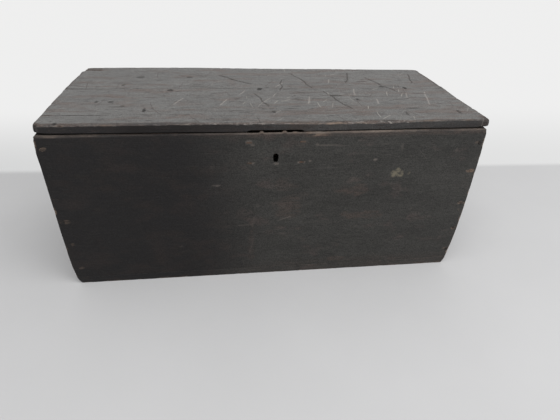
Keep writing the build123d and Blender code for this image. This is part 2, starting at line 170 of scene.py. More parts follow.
# Boards as meshes: how far the close grid lines lie from an edge, and the grid of the face behind
edge_steps = (0.5, 1.1, 1.9, 2.9, 4.2, 5.8, 7.8, 10.2)
inner_step = 16.0
inner_edge = 14.0


def lines(length, step, extra):
    """Places of the grid lines across a board: close by both edges, steady between, with extra ones."""
    near = [0.0, *[place for place in edge_steps if place < length / 2 - 1]]
    count = max(2, round((length - 2 * near[-1]) / step))
    middle = np.linspace(near[-1], length - near[-1], count + 1)[1:-1]
    kept = [place for place in middle if all(abs(place - other) > step / 2 for other in extra)]
    return np.array(sorted({*near, *kept, *extra, *[length - place for place in near]}))


def stitch(faces, row, places, other, other_places):
    """Triangles between two rows of points that have different spacing."""
    i, j = 0, 0
    while i < len(row) - 1 or j < len(other) - 1:
        row_next = i < len(row) - 1 and (j == len(other) - 1 or places[i + 1] <= other_places[j + 1])
        if row_next:
            faces.append((row[i + 1], row[i], other[j]))
            i += 1
        else:
            faces.append((other[j + 1], row[i], other[j]))
            j += 1


def grid_faces(grid):
    """The four-sided faces of a grid of points."""
    corners = (grid[:-1, :-1], grid[1:, :-1], grid[1:, 1:], grid[:-1, 1:])
    return np.stack(corners, -1).reshape(-1, 4).tolist()


def board_mesh(name, size, us, vs, ws, place, shape):
    """A closed board. shape moves its points in its own millimetres, place turns them into the model's."""
    length, width, thick = size
    columns, rows = len(us), len(vs)
    grid_u, grid_v = [grid.ravel() for grid in np.meshgrid(us, vs, indexing="ij")]
    front = np.arange(columns * rows).reshape(columns, rows)
    rim = np.concatenate((front[:, 0], front[-1, 1:], front[-2::-1, -1], front[0, -2:0:-1])).tolist()
    around = len(rim)
    u, v, w = [grid_u], [grid_v], [np.zeros(columns * rows)]
    for depth in ws[1:]:
        u.append(grid_u[rim])
        v.append(grid_v[rim])
        w.append(np.full(around, depth))
    first = columns * rows + (len(ws) - 1) * around
    rings = [rim, *[list(range(k, k + around)) for k in range(columns * rows, first, around)]]

    faces = grid_faces(front)
    for ring, deeper in zip(rings, rings[1:]):
        for k in range(around):
            following = (k + 1) % around
            faces.append((ring[k], deeper[k], deeper[following], ring[following]))

    # The coarse face behind, joined to the last ring by a band of triangles
    inset = min(inner_edge, length / 4, width / 4)
    coarse_u, coarse_v = [
        np.linspace(inset, side - inset, max(2, round((side - 2 * inset) / inner_step)) + 1)
        for side in (length, width)
    ]
    back_u, back_v = [grid.ravel() for grid in np.meshgrid(coarse_u, coarse_v, indexing="ij")]
    u.append(back_u)
    v.append(back_v)
    w.append(np.full(back_u.size, thick))
    behind = first + np.arange(back_u.size).reshape(len(coarse_u), -1)
    faces += grid_faces(behind.T)
    last = rings[-1]
    side_u, side_v = us / length, vs / width
    inner_u, inner_v = (coarse_u - inset) / (length - 2 * inset), (coarse_v - inset) / (width - 2 * inset)
    edge_low = last[:columns]
    edge_right = last[columns - 1 : columns + rows - 1]
    edge_high = last[columns + rows - 2 : 2 * columns + rows - 2][::-1]
    edge_left = [last[0], *last[2 * columns + rows - 2 :][::-1], edge_high[0]]
    stitch(faces, edge_low, side_u, behind[:, 0].tolist(), inner_u)
    stitch(faces, edge_right, side_v, behind[-1].tolist(), inner_v)
    flipped = []
    stitch(flipped, edge_high, side_u, behind[:, -1].tolist(), inner_u)
    stitch(flipped, edge_left, side_v, behind[0].tolist(), inner_v)
    faces += [face[::-1] for face in flipped]

    u, v, w = np.concatenate(u), np.concatenate(v), np.concatenate(w)
    new_u, new_v, new_w, marks = shape(u, v, w)
    points = place(new_u, new_v, new_w) * mm
    mesh = bpy.data.meshes.new(name)
    mesh.from_pydata(points.tolist(), [], faces)
    mesh.polygons.foreach_set("use_smooth", [True] * len(faces))
    for mark in mark_names:
        values = np.clip(marks.get(mark, np.zeros_like(u)), 0, 1).astype(np.float32)
        mesh.attributes.new(mark, "FLOAT", "POINT").data.foreach_set("value", values)
    mesh.update()
    return add_piece(name, mesh)


def round_arrises(u, v, w, size, radius):
    """Rounds a board's arrises by a radius that may differ from point to point."""
    core = [np.clip(value, radius, limit - radius) for value, limit in zip((u, v, w), size)]
    out = [value - inner for value, inner in zip((u, v, w), core)]
    far = np.maximum(np.sqrt(out[0] ** 2 + out[1] ** 2 + out[2] ** 2), 1e-9)
    return [inner + step / far * radius for inner, step in zip(core, out)]


def edge_distance(u, v, w, size):
    """Distance to the nearest arris of the outer face."""
    near = np.minimum(np.minimum(u, size[0] - u), np.minimum(v, size[1] - v))
    return np.hypot(near, w)


def round_corner(u, v, corner, radius):
    """Rounds one corner of a board's plan: corner gives its place and the signs that point into the board."""
    (corner_u, into_u), (corner_v, into_v) = corner
    a = radius - (u - corner_u) * into_u
    b = radius - (v - corner_v) * into_v
    inside = (a > 0) & (b > 0)
    longest = np.maximum(np.maximum(a, b), 1e-9)
    shrink = np.where(inside, longest / np.maximum(np.hypot(a, b), 1e-9), 1.0)
    new_u = np.where(inside, corner_u + into_u * (radius - a * shrink), u)
    new_v = np.where(inside, corner_v + into_v * (radius - b * shrink), v)
    return new_u, new_v


def thickness_lines(thick):
    """Depths of the rings round a board's edge."""
    near = [0.0, *[depth for depth in edge_steps[:6] if depth < thick / 2 - 0.6]]
    return [*near, thick / 2, *[thick - depth for depth in near[::-1]]]


def sink(w, thick, depth):
    """Moves the outer face in by a depth, and what is behind it in proportion."""
    return w + depth * (1 - w / thick)


def end_inset(z, side):
    """How far the worn end lies in from the straight one: side is -1 at the left and 1 at the right."""
    heights, reach = (left_heights, left_reach) if side < 0 else (right_heights, right_reach)
    return side_x - np.interp(z, heights, reach)


def outline(x, z):
    """Moves a point of the carcass in from the straight ends to the worn outline."""
    moved = x + end_inset(z, -1) * ease(x, -worn_from, -side_x)
    return moved - end_inset(z, 1) * ease(x, worn_from, side_x)


def from_ends(u, size):
    """Distance to the nearer end of a board."""
    return np.minimum(u, size[0] - u)


def inner_side(w, thick=board, low=0.45, high=0.8):
    """1 on a board's inner side, 0 on its outer one."""
    return ease(w, thick * low, thick * high)


def bump(value, middle, half):
    """1 at the middle, 0 from the half width outwards."""
    return ease(np.abs(value - middle), half, half * 0.3)


def splinters(x):
    """Where the wood still stands across the recess in the rim."""
    return bump(x, -30, 6) + bump(x, 21, 6.5) + 0.4 * bump(x, 44, 8)


def in_recess(x):
    """1 along the recess that is cut into the rim for the lock, 0 beyond it."""
    return ease(x, recess_edges[0], recess_edges[0] + 2.5) * ease(x, recess_edges[1], recess_edges[1] - 2.5)


def rim_drop(x, w):
    """How far the front rim is cut or worn down along its length; the recess lies behind a thin lip."""
    recess = 4.6 * in_recess(x) * ease(w, 2.0, 3.0) * (1 - 0.8 * np.clip(splinters(x), 0, 1))
    chips = 2.2 * ease(noise(x, 0, 3, 9), 0.42, 0.7) * ease(x, 66, 76) * ease(x, 122, 104)
    wave = 0.1 + 0.9 * layered(x, 0, 8, 80)
    bridges = 3.8 * np.clip(splinters(x), 0, 1) * in_recess(x) * ease(w, 4.5, 3)
    return recess + chips + wave - bridges


# Heights of the nails, and the front board's spots: middle, half width, half height and strength
front_nails = {"left": (370, 308, 247, 186, 121, 48), "right": (365, 291, 198, 120, 48)}
front_nail_marks = (
    (-484, 371, 8, 5, 0.5), (-491, 308, 5, 5, 0.2), (-489, 247, 8, 6, 0.3), (-482, 187, 14, 8, 0.45),
    (-484, 121, 9, 6, 0.35), (-480, 48, 10, 6, 0.45), (485, 365, 9, 6, 0.5), (486, 291, 13, 6, 1.0),
    (486, 198, 10, 5.5, 0.6), (487, 179, 4, 4, 0.5), (489, 120, 7, 6, 0.65), (486, 50, 8, 6, 0.5),
)
front_specks = (
    (-58, 378, 9, 5, 0.7), (-50, 372, 5, 4, 0.5), (-57, 328, 4, 3, 0.7), (-49, 327, 4, 3, 0.7),
    (57, 326, 4, 3, 0.8), (69, 326, 3.5, 2.5, 0.8), (82, 329, 3.5, 3, 0.6), (96, 369, 3.5, 3, 0.5),
    (238, 328, 4, 4, 0.7), (226, 288, 3.5, 2.5, 0.3), (191, 279, 6, 5, 0.2), (297, 360, 3, 8, 0.25),
    (435, 347, 4, 7, 0.2), (-130, 272, 6, 3, 0.5), (-139, 319, 5, 5, 0.12), (-228, 100, 5, 3, 0.15),
    (-37, 212, 9, 4, 0.12), (5, 324, 6, 2.5, 0.6), (65, 378, 8, 5, 0.25), (215, 141, 5, 4, 0.12),
    (355, 188, 5, 4, 0.12), (25, 128, 10, 4, 0.12),
)
front_patches = (
    (192, 248, 46, 16, 0.55), (38, 204, 44, 36, 0.45), (-53, 90, 9, 66, 0.35), (-270, 185, 80, 30, 0.4),
    (-330, 225, 60, 14, 0.3), (-140, 160, 60, 30, 0.25), (30, 268, 26, 18, 0.3), (220, 174, 60, 14, 0.5),
    (172, 34, 26, 10, 0.5), (-290, 372, 40, 16, 0.25),
)
# Light strokes on the front board: start, end and strength
front_strokes = (
    ((96, 368), (160, 366), 0.55), ((160, 366), (272, 367), 0.12), ((14, 168), (47, 179), 0.5),
    ((-49, 152), (-47, 180), 0.4), ((-86, 158), (-49, 159), 0.3), ((-144, 272), (-128, 272), 0.5),
    ((-45, 120), (-60, 60), 0.12), ((90, 158), (170, 155), 0.12),
)


def shape_front(u, v, w):
    """Shape of the front board, with the marks that the photograph shows."""
    size = (body_length, carcass_height, board)
    x, z = u - side_x, v + bottom
    rough = layered(u, v, 1, 26)
    chip = ease(noise(u, v, 2, 17), 0.66, 0.86)
    top = ease(v, size[1] - 40, size[1] - 4)
    low = ease(v, 12, 5)
    radius = 1.0 + 1.8 * rough + 2.6 * chip * (0.3 + 0.7 * top)
    radius = radius * (1 - 0.55 * ease(w, 6, board)) * (1 - 0.8 * low)
    new_u, new_v, new_w = round_arrises(u, v, w, size, radius)

    depth = 0.25 + 0.5 * layered(x, z, 4, 300, 60, 2) + 0.22 * layered(x, z, 5, 90, 9, 3)
    depth += 0.5 * ease(layered(x, z, 9, 30, 14, 2), 0.68, 0.82)
    bare, pale, red, dark = np.zeros((4, u.size))
    for mark, strong in spots(x, z, front_nail_marks, 0, 0.7):
        bare = np.maximum(bare, strong)
        depth += 0.35 * mark
    for mark, strong in spots(x, z, front_specks, 7, 0.8):
        pale = np.maximum(pale, strong)
        depth += 0.4 * mark
    for mark, strong in spots(x, z, front_patches, 3, 1.1):
        red = np.maximum(red, strong)
    for start, end, strength in front_strokes:
        mark = stroke(x, z, start, end, 2.2, 6, 2)
        pale = np.maximum(pale, strength * mark)
        depth += 0.3 * mark
    covered = np.interp(x, lid_front_xs, lid_front_ys) - front_y
    rim = ease(v, size[1] - 4.5 - 2 * rough, size[1] - 2) * ease(w, covered + 1.5, covered - 0.5)
    # Bared and paled rim in front of the lid's edge: real wear, and a painted highlight
    worn = np.interp(x, rim_xs, rim_wear_and_highlight) * (0.6 + 0.8 * noise(x, 0, 2, 26)) + 0.4 * bump(x, 96, 24)
    bare += (0.2 + 0.6 * worn) * rim
    pale = np.maximum(pale, 0.8 * worn * rim)
    split = ease(x, 64, 76) * ease(x, 128, 108) * ease(v, size[1] - 11 - 4 * rough, size[1] - 6)
    split = np.maximum(split, splinters(x) * in_recess(x) * ease(v, size[1] - 6, size[1] - 3))
    bare += 0.75 * split * ease(noise(x, z, 8, 9, 4), 0.25, 0.5)
    ends = ease(from_ends(u, size), 5 + 3 * rough, 1) * ease(w, 3 + 4 * rough, 1)
    bare += 0.5 * ends * ease(rough, 0.45, 0.62) + 0.7 * chip * ends
    red += 0.4 * ease(z, 52, 24) * ease(x, -260, 60) * layered(x, z, 13, 120, 16)
    red += 0.6 * ease(v, size[1] - 16, size[1] - 5) * ease(x, -420, -300)
    # Painted shade: the left third of the front takes the darker paint, with a wavering edge, fading away
    # from the face; dark adds a little
    shade_end = -115 + 60 * (layered(x, z, 21, 160, 220, 2) - 0.5) - 0.12 * (z - 200)
    deep = np.clip((shade_end + 115 - x) / 230, 0, 1) * (1 - 0.75 * ease(w, 2, 6))
    red += 0.9 * rim * ease(x, -440, -400) * ease(x, -90, -130) + 0.8 * split
    dark += 0.16 * deep
    standing = np.clip(splinters(x) * in_recess(x), 0, 1)
    fuzz = standing * ease(v, size[1] - 3, size[1] - 1)
    bare, pale, red = bare * (1 - 0.5 * fuzz), pale * (1 - 0.8 * fuzz), red + fuzz
    # Painted shade where the lid hangs over the rim, and on the floor of the lock's recess, except where
    # splinters stand
    dark += ease(w, covered - 0.5, covered + 1.5) * top * (1 - standing)
    dark += in_recess(x) * ease(w, 1.8, 2.6) * ease(v, size[1] - 8, size[1] - 1) * (1 - standing)
    new_w = sink(new_w, board, depth)
    new_v = new_v - rim_drop(x, w) * ease(v, size[1] - 30, size[1])
    new_u = outline(new_u - side_x, new_v + bottom) + side_x
    ripple = 1.6 * (noise(z, 0, 9, 14) - 0.5) * ease(z, 300, 360)
    new_u += ripple * (ease(x, 470, side_x) + ease(x, -470, -side_x))
    rim_corner = ease(v, size[1] - 13, size[1] - 3)
    new_u += rim_corner * (2.4 * ease(x, -484, -497) - 1.4 * ease(x, 486, 498))
    inside = inner_side(w) * ease(from_ends(u, size), 1, 5)
    bare += 0.25 * spot(x, z, (lock_x, keyhole_z), (10, 15), 4, 0.5)
    wax = spot(x, z, (297, 291), (17, 14), 11, 0.9) + 0.7 * spot(x, z, (327, 291), (6, 6), 12, 0.6)
    found = {"bare": bare, "red": red, "pale": pale, "dark": dark, "inside": inside, "wax": wax, "deep": deep}
    return new_u, new_v, new_w, found


def shape_back(u, v, w):
    """Shape of the back board, whose rim has a notch for each hinge."""
    size = (body_length, carcass_height, board)
    x, z = side_x - u, v + bottom
    arris = edge_distance(u, v, w, size)
    rough = layered(u, v, 14, 30)
    chip = ease(noise(u, v, 15, 21), 0.68, 0.88)
    radius = (1.4 + 2.2 * rough + 2.2 * chip) * (1 - 0.5 * ease(w, 6, board))
    new_u, new_v, new_w = round_arrises(u, v, w, size, radius)
    depth = 0.3 + 0.6 * layered(x, z, 16, 260, 50, 2) + 0.3 * layered(x, z, 17, 110, 8, 3)
    for order, (height, side) in enumerate((a, b) for a in (60, 175, 262) for b in (-1, 1)):
        depth += 0.5 * spot(x, z, (side * (90 + 120 * order % 310), height), (24, 4), order, 0.8)
    bare = 0.8 * ease(arris, 3 + 5 * rough, 0.8) * ease(rough, 0.3, 0.6) + 0.8 * chip * ease(arris, 6, 2)
    for x_side, heights in ((-1, front_nails["left"]), (1, front_nails["right"])):
        for order, height in enumerate(heights):
            bare = np.maximum(bare, 0.6 * spot(x, z, (x_side * nail_x, height), (9, 6), order, 0.7))
    red = 0.5 * ease(layered(x, z, 18, 150, 40), 0.55, 0.75)
    new_w = sink(new_w, board, depth)
    notch = sum(ease(np.abs(x - side * 330), 17.5, 16.5) for side in (-1, 1))
    new_v = new_v - (2.6 * notch + 0.5 * layered(x, 0, 19, 80)) * ease(v, size[1] - 24, size[1])
    new_x = outline(side_x - new_u, new_v + bottom)
    inside = inner_side(w) * ease(from_ends(u, size), 1, 5)
    return side_x - new_x, new_v, new_w, {"bare": bare, "red": red, "inside": inside}


def shape_end(side):
    """Shape of an end board: side is -1 for the left one and 1 for the right one."""

    def shape(u, v, w):
        size = (depth_inside, carcass_height, board)
        y, z = (u - inner_back) * side, v + bottom
        rough = layered(u, v, 20 + side, 28)
        chip = ease(noise(u, v, 22 + side, 19), 0.68, 0.86)
        top = ease(v, size[1] - 30, size[1] - 4)
        radius = 0.7 + (1.2 + 2 * rough + 2.5 * chip) * top
        radius = radius * (1 - 0.4 * ease(w, 6, board))
        new_u, new_v, new_w = round_arrises(u, v, w, size, radius)
        depth = 0.2 + 0.6 * layered(y, z, 6, 200, 50, 2) + 0.25 * layered(y, z, 7, 80, 8, 3)
        gouge = stroke(y, z, (-60, 250), (48, 236), 4, 3, 4) + stroke(y, z, (70, 120), (140, 133), 3, 5, 3)
        depth += 0.9 * gouge
        low = ease(z, 120, 26)
        bare = 0.55 * low * ease(layered(y, z, 10, 44, 16), 0.45, 0.62)
        bare += 0.8 * top * ease(edge_distance(u, v, w, size), 4 + 4 * rough, 1) + 0.5 * gouge
        red = 0.4 * ease(layered(y, z, 12, 110, 40), 0.52, 0.72) + 0.4 * low
        new_w = sink(new_w, board, depth + end_inset(z, side))
        new_v = new_v - 0.6 * layered(y, 0, 13, 70) * ease(v, size[1] - 24, size[1])
        pale = 0.5 * spot(y, z, (-96 * side, 190), (4, 9), 5) + 0.5 * spot(y, z, (120, 300), (7, 4), 6)
        found = {"bare": bare, "red": red, "inside": inner_side(w), "pale": pale, "dark": 0.5 * gouge}
        return new_u, new_v, new_w, found

    return shape


# Knots and dents of the lid, as spots
lid_knots = (
    (-365, 276, 5, 5, 0.7), (-402, 143, 5, 8, 0.6), (-370, 142, 6, 6, 0.6), (-340, 114, 7, 4, 0.4),
    (-287, 85, 4, 13, 0.9), (-243, 231, 8, 8, 0.7), (-200, 343, 8, 6, 0.5), (-15, 237, 7, 12, 0.8),
    (225, 150, 4, 9, 0.8), (325, 257, 8, 6, 0.8), (388, 248, 6, 9, 0.9), (5, 67, 5, 8, 0.7),
    (346, 82, 17, 3, 0.8), (447, 51, 5, 12, 0.6), (316, 44, 3, 16, 0.5), (176, 181, 18, 7, 0.6),
    (-330, 342, 12, 9, 0.4), (-452, 7, 4, 6, 0.8), (-440, -1, 5, 4, 0.8),
)
# Knife cuts and drag marks on the lid: start, end, width and depth, in millimetres from the front edge
lid_cuts = (
    ((-120, 364), (-34, 279), 3.4, 0.9), ((262, 394), (236, 293), 3.2, 1.0),
    ((92, 380), (128, 240), 3.0, 0.8), ((300, 348), (352, 207), 3.4, 0.9),
    ((-30, 202), (-6, 103), 3.0, 0.8), ((150, 215), (196, 77), 3.0, 0.8),
    ((452, 384), (424, 291), 3.0, 0.9), ((56, 322), (40, 225), 2.8, 0.7),
    ((196, 310), (244, 306), 3.0, 0.6), ((318, 147), (362, 151), 3.0, 0.6),
    ((332, 262), (392, 258), 2.6, 0.5), ((388, 198), (428, 202), 2.6, 0.5),
    ((-196, 258), (-120, 252), 2.4, 0.4), ((60, 198), (112, 202), 2.4, 0.4),
)
# Pale nicks: start, end and width
lid_nicks = (
    ((-226, 122), (-206, 169), 2.4), ((-118, 114), (-100, 157), 2.4), ((-70, 192), (-52, 227), 2.2),
    ((96, 120), (108, 174), 2.4), ((228, 184), (240, 238), 2.4), ((270, 116), (278, 155), 2.4),
    ((398, 105), (430, 215), 2.6), ((362, 163), (372, 202), 2.2), ((30, 258), (54, 291), 2.2),
    ((182, 287), (192, 328), 2.2), ((-12, 136), (8, 165), 2.2),
)


def lid_radius(u, v, seed):
    """Radius of the lid's arrises, with how rough and how chipped they are."""
    rough = layered(u, v, 4, 34)
    chip = ease(noise(u, v, seed, 17), 0.62, 0.9)
    return 1.8 + 2.4 * rough + 2.0 * chip, rough, chip


def seam_dark(x):
    """How dark the joint between the lid's boards is along its length."""
    return 0.35 + 0.65 * np.maximum(ease(x, -425, -445), bump(x, -75, 90)) + ease(x, 470, 485)


def underside(w, from_edge):
    """Where the lid's underside starts to be bare: a little in from its free edges."""
    return inner_side(w, lid_thick, 0.9, 0.99) * ease(from_edge, 1, 10)


def lid_rise(x, y, w):
    """How far the warped lid stands above its flat place. Its underside rises only near the front edge."""
    front = np.interp(x, lift_xs, lift_heights)
    top = front * np.clip((100 - y) / 316, 0, 1)
    top += (3.0 * ease(x, 120, -260) - 0.5 * ease(x, -350, -450)) * ease(y, 49, 209)
    top = top - 2.4 * ease(x, 150, 470) * ease(y, -164, 96)
    over_recess = 3.2 * ease(x, recess_edges[0] - 4, recess_edges[0] + 8)
    over_recess = over_recess * ease(x, recess_edges[1] + 4, recess_edges[1] - 8) * ease(y, -202, -214)
    under = front * ease(y, -190, -212) + over_recess
    share = w / lid_thick
    return top * (1 - share) + under * share


def lid_ends(u, y):
    """Moves the lid's ends from the straight to their worn plan."""
    x = u - lid_length / 2
    left = lid_length / 2 - np.interp(y, lid_left_ys, lid_left_reach)
    right = lid_length / 2 - np.interp(y, lid_right_ys, lid_right_reach)
    return u + left * ease(x, -worn_from, -490) - right * ease(x, worn_from, 490)


def shape_lid_front(u, v, w):
    """Shape of the lid's front board, with its worn front arris and the crack at its left end."""
    size = (lid_length, lid_joint_y - lid_front_y, lid_thick)
    x, y = u - lid_length / 2, v + lid_front_y
    radius, rough, chip = lid_radius(u, v, 5)
    joint = ease(v, size[1] - 30, size[1] - 12)
    front_radius = 1.3 + 1.4 * noise(x, 0, 10, 30)
    radius += (front_radius - radius) * ease(v, 24, 12)
    wear_depth = np.interp(x, wear_xs, wear_depths)
    wear = np.interp(x, wear_xs, wear_heights) * (0.7 + 0.6 * noise(x, 0, 10, 24))
    worn_share = np.clip(1 - v / wear_depth, 0, 1)
    right_corner = ease(np.hypot(size[0] - u, v), 34, 12)
    left_corner = ease(np.hypot(u, v), 40, 14)
    worn_end = np.maximum(ease(x, 470, 486) * ease(v, 200, 160) * ease(v, 10, 26), right_corner)
    worn_end = np.maximum(worn_end, np.maximum(ease(x, -474, -490) * ease(v, 110, 60), left_corner))
    radius += (6.5 - radius) * worn_end
    low = ease(w, 7, 10.5)
    low_radius = 0.5 + 0.8 * rough + 4.0 * right_corner + 2.0 * left_corner
    radius = (radius * (1 - low) + low_radius * low) * (1 - 0.8 * joint)
    new_u, new_v, new_w = round_arrises(u, v, w, size, radius)
    crack_v = 56.4 + 3 * (layered(x, 0, 11, 60) - 0.5)
    crack = ease(x, -352, -372) * ease(np.abs(v - crack_v), 1.7, 0.5)
    marks = lid_marks(x, v, 0)
    arris = edge_distance(u, v, w, size)
    depth = 0.25 + 0.6 * layered(x, v, 14, 260, 60, 2) + 0.3 * layered(x, v, 15, 80, 8, 3) + marks["depth"]
    depth += crack * (5 + 9 * ease(x, -400, -498)) + wear * worn_share**1.4
    worn_top = ease(w, 5, 2)
    worn_front = ease(worn_share, 0.05, 0.4) * ease(w, 2.5, 1.0)
    scuff = ease(layered(x, v, 16, 60, 12), 0.38, 0.62)
    bare = 0.24 * worn_front * scuff * (0.2 + 0.8 * ease(x, -330, -120))
    bare += 0.4 * chip * ease(arris, 6, 2) * (1 - joint) * worn_top
    bare += 0.3 * ease(arris, 2 + 4 * rough, 0.6) * (1 - joint) * ease(rough, 0.3, 0.6) * worn_top
    bare = bare * (1 - 0.8 * right_corner)
    nicked = 0.2 + 0.6 * np.maximum(bump(x, -75, 150), bump(x, 235, 100)) * ease(x, 500, 300)
    nicked = nicked * ease(v, 6, 3) * ease(w, 4, 1.5)
    pale = marks["pale"] * ease(w, 3, 0.5)
    dark = marks["dark"] * ease(w, 3, 0.5) + crack
    dark += 0.8 * seam_dark(x) * ease(v, size[1] - 2.0, size[1] - 0.2)
    # Painted shade on the lid's front edge face over a stretch left of the middle
    face = ease(v, 8, 3) * ease(w, 0.6, 2.4)
    gloom = np.interp(x, (-400, -350, -300, -240, -200, -150, -90), (0, 0.4, 1, 0.75, 0.8, 0.5, 0))
    dark += 0.85 * face * gloom
    end_wear = np.maximum(ease(u, 5 + 4 * rough, 2), ease(size[0] - u, 8 + 6 * rough, 3)) * ease(w, 12, 4)
    end_wear = np.maximum(end_wear * ease(v, 215, 120), right_corner)
    dark += 0.35 * end_wear + 0.25 * right_corner
    new_w = sink(new_w, lid_thick, depth)
    gap = 0.9 * np.maximum(ease(x, -430, -490), ease(x, 470, 495)) + 0.4 * layered(x, 0, 2, 70)
    new_v = new_v - gap * ease(v, size[1] - 12, size[1])
    bow = np.interp(x, lid_front_xs, lid_front_ys) - lid_front_y
    new_v += (bow + 0.8 * (layered(x, w * 3, 7, 38) - 0.5)) * ease(v, 50, 0)
    for notch in (156, 77, 51):
        bite = spot(x, v, (lid_length / 2, notch), (9, 5), notch, 0.6)
        new_u = new_u - 1.8 * bite * ease(x, 480, 498)
        bare += 0.3 * bite
    new_u, new_v = round_corner(new_u, new_v, ((0, 1), (0, 1)), 24.0)
    new_u, new_v = round_corner(new_u, new_v, ((lid_length, -1), (0, 1)), 9.5)
    new_u = lid_ends(new_u, y)
    slope = np.clip(1 - w / 13, 0, 1) ** 1.5
    new_u += 3.4 * slope * ease(v, 190, 30) * ease(x, -484, -496)
    new_u = new_u - 1.6 * slope * ease(v, 60, 20) * ease(x, 484, 496)
    new_w = new_w - lid_rise(x, y, w)
    inside = underside(w, np.minimum(from_ends(u, size), v))
    pale, dark = pale * (1 - inside), dark * (1 - inside)
    red = marks["red"] + worn_front + 0.9 * end_wear
    # Painted shade: the lid's front edge face and worn arris take the darker paint along its length, and the
    # ends too
    face_xs = (-480, -350, -200, -100, 0, 100, 400, 480)
    face_shade_tones = (0.95, 0.97, 1.0, 0.97, 0.72, 0.64, 0.68, 0.75)
    worn_shade = np.interp(x, wear_xs, wear_shade_tones) * ease(worn_share, 0.0, 0.5) * ease(w, 2.5, 1.0)
    deep = np.maximum(face * np.interp(x, face_xs, face_shade_tones), worn_shade)
    deep = np.maximum(deep, 0.7 * ease(from_ends(u, size), 4, 1) * ease(w, 3, 8)) * (1 - 0.5 * end_wear)
    found = {"bare": bare, "pale": pale, "dark": dark, "red": red, "inside": inside, "deep": deep}
    found["nicks"] = nicked
    return new_u, new_v, new_w, found


def shape_lid_rear(u, v, w):
    """Shape of the lid's rear board, whose left corner is broken off along a crack."""
    size = (lid_length, lid_back_y - lid_joint_y, lid_thick)
    offset = lid_joint_y - lid_front_y
    x, y = u - lid_length / 2, v + lid_joint_y
    radius, rough, chip = lid_radius(u, v, 6)
    joint = ease(v, 30, 12)
    radius = radius * (1 - 0.8 * joint) * (1 - 0.5 * ease(w, 6, lid_thick))
    new_u, new_v, new_w = round_arrises(u, v, w, size, radius)
    crack_v = 408 - offset + 2.5 * (layered(x, 0, 12, 40) - 0.5)
    crack = ease(x, -440, -458) * ease(np.abs(v - crack_v), 2.6, 1.0)
    marks = lid_marks(x, v + offset, 9)
    arris = edge_distance(u, v, w, size)
    depth = 0.25 + 0.6 * layered(x, v, 17, 260, 60, 2) + 0.3 * layered(x, v, 18, 80, 8, 3) + marks["depth"]
    depth += crack * (6 + 8 * ease(x, -460, -498))
    broken = ease(x, -446, -452) * ease(v, crack_v, crack_v + 2)
    depth += broken * (0.2 + 0.8 * layered(x, v, 3, 14))
    worn_top = ease(w, 5, 2)
    bare = 0.6 * chip * ease(arris, 6, 2) * (1 - joint) * worn_top + 0.45 * broken
    bare += 0.6 * ease(arris, 2 + 4 * rough, 0.6) * (1 - joint) * ease(rough, 0.34, 0.6) * worn_top
    dark = marks["dark"] + crack + 0.8 * seam_dark(x) * ease(v, 2.0, 0.2) + 0.35 * broken
    new_w = sink(new_w, lid_thick, depth)
    gap = 0.5 * np.maximum(ease(x, -430, -490), ease(x, 470, 495))
    new_v += gap * ease(v, 12, 0)
    bite = spot(x, v + offset, (lid_length / 2, 239), (9, 6), 4, 0.6)
    new_u = new_u - 3 * bite * ease(x, 480, 498)
    bite = spot(x, v + offset, (-lid_length / 2, 417), (20, 20), 4, 0.9)
    new_u += 5 * bite * ease(x, -470, -498)
    new_u, new_v = round_corner(new_u, new_v, ((0, 1), (size[1], -1)), 20.0)
    new_u, new_v = round_corner(new_u, new_v, ((lid_length, -1), (size[1], -1)), 15.0)
    new_u = lid_ends(new_u, y)
    new_w = new_w - lid_rise(x, y, w)
    inside = underside(w, np.minimum(from_ends(u, size), size[1] - v))
    pale, dark = marks["pale"] * (1 - inside), dark * (1 - inside)
    found = {"bare": bare, "pale": pale, "dark": dark, "red": marks["red"], "inside": inside}
    end_wear = np.maximum(ease(u, 7 + 5 * rough, 2), ease(size[0] - u, 11 + 9 * rough, 3)) * ease(w, 12, 4)
    found["red"] = found["red"] + 0.8 * end_wear
    # Painted shade: the rear board's edges and worn ends take the darker paint
    found["deep"] = np.maximum(0.7 * ease(w, 3, 8), 0.6 * end_wear)
    return new_u, new_v, new_w, found


def lid_marks(x, y, seed):
    """Knots, cuts and nicks on the lid, with the place along it and the distance from its front edge."""
    depth, dark, pale = np.zeros((3, x.size))
    red = 0.9 * ease(layered(x, y, 19 + seed, 80, 16), 0.52, 0.7)
    for mark, strong in spots(x, y, lid_knots, 0, 0.8):
        dark = np.maximum(dark, strong)
        depth += 0.6 * strong
    for order, (start, end, width, deep) in enumerate(lid_cuts):
        mark = stroke(x, y, start, end, 1.2 * width, order, 9)
        dark = np.maximum(dark, 0.6 * mark)
        red += 0.6 * mark
        depth += deep * mark
    for order, (start, end, width) in enumerate(lid_nicks):
        mark = stroke(x, y, start, end, 1.25 * width, order, 3)
        pale = np.maximum(pale, mark)
        depth += 0.5 * mark
    return {"depth": depth, "dark": dark, "pale": pale, "red": red}


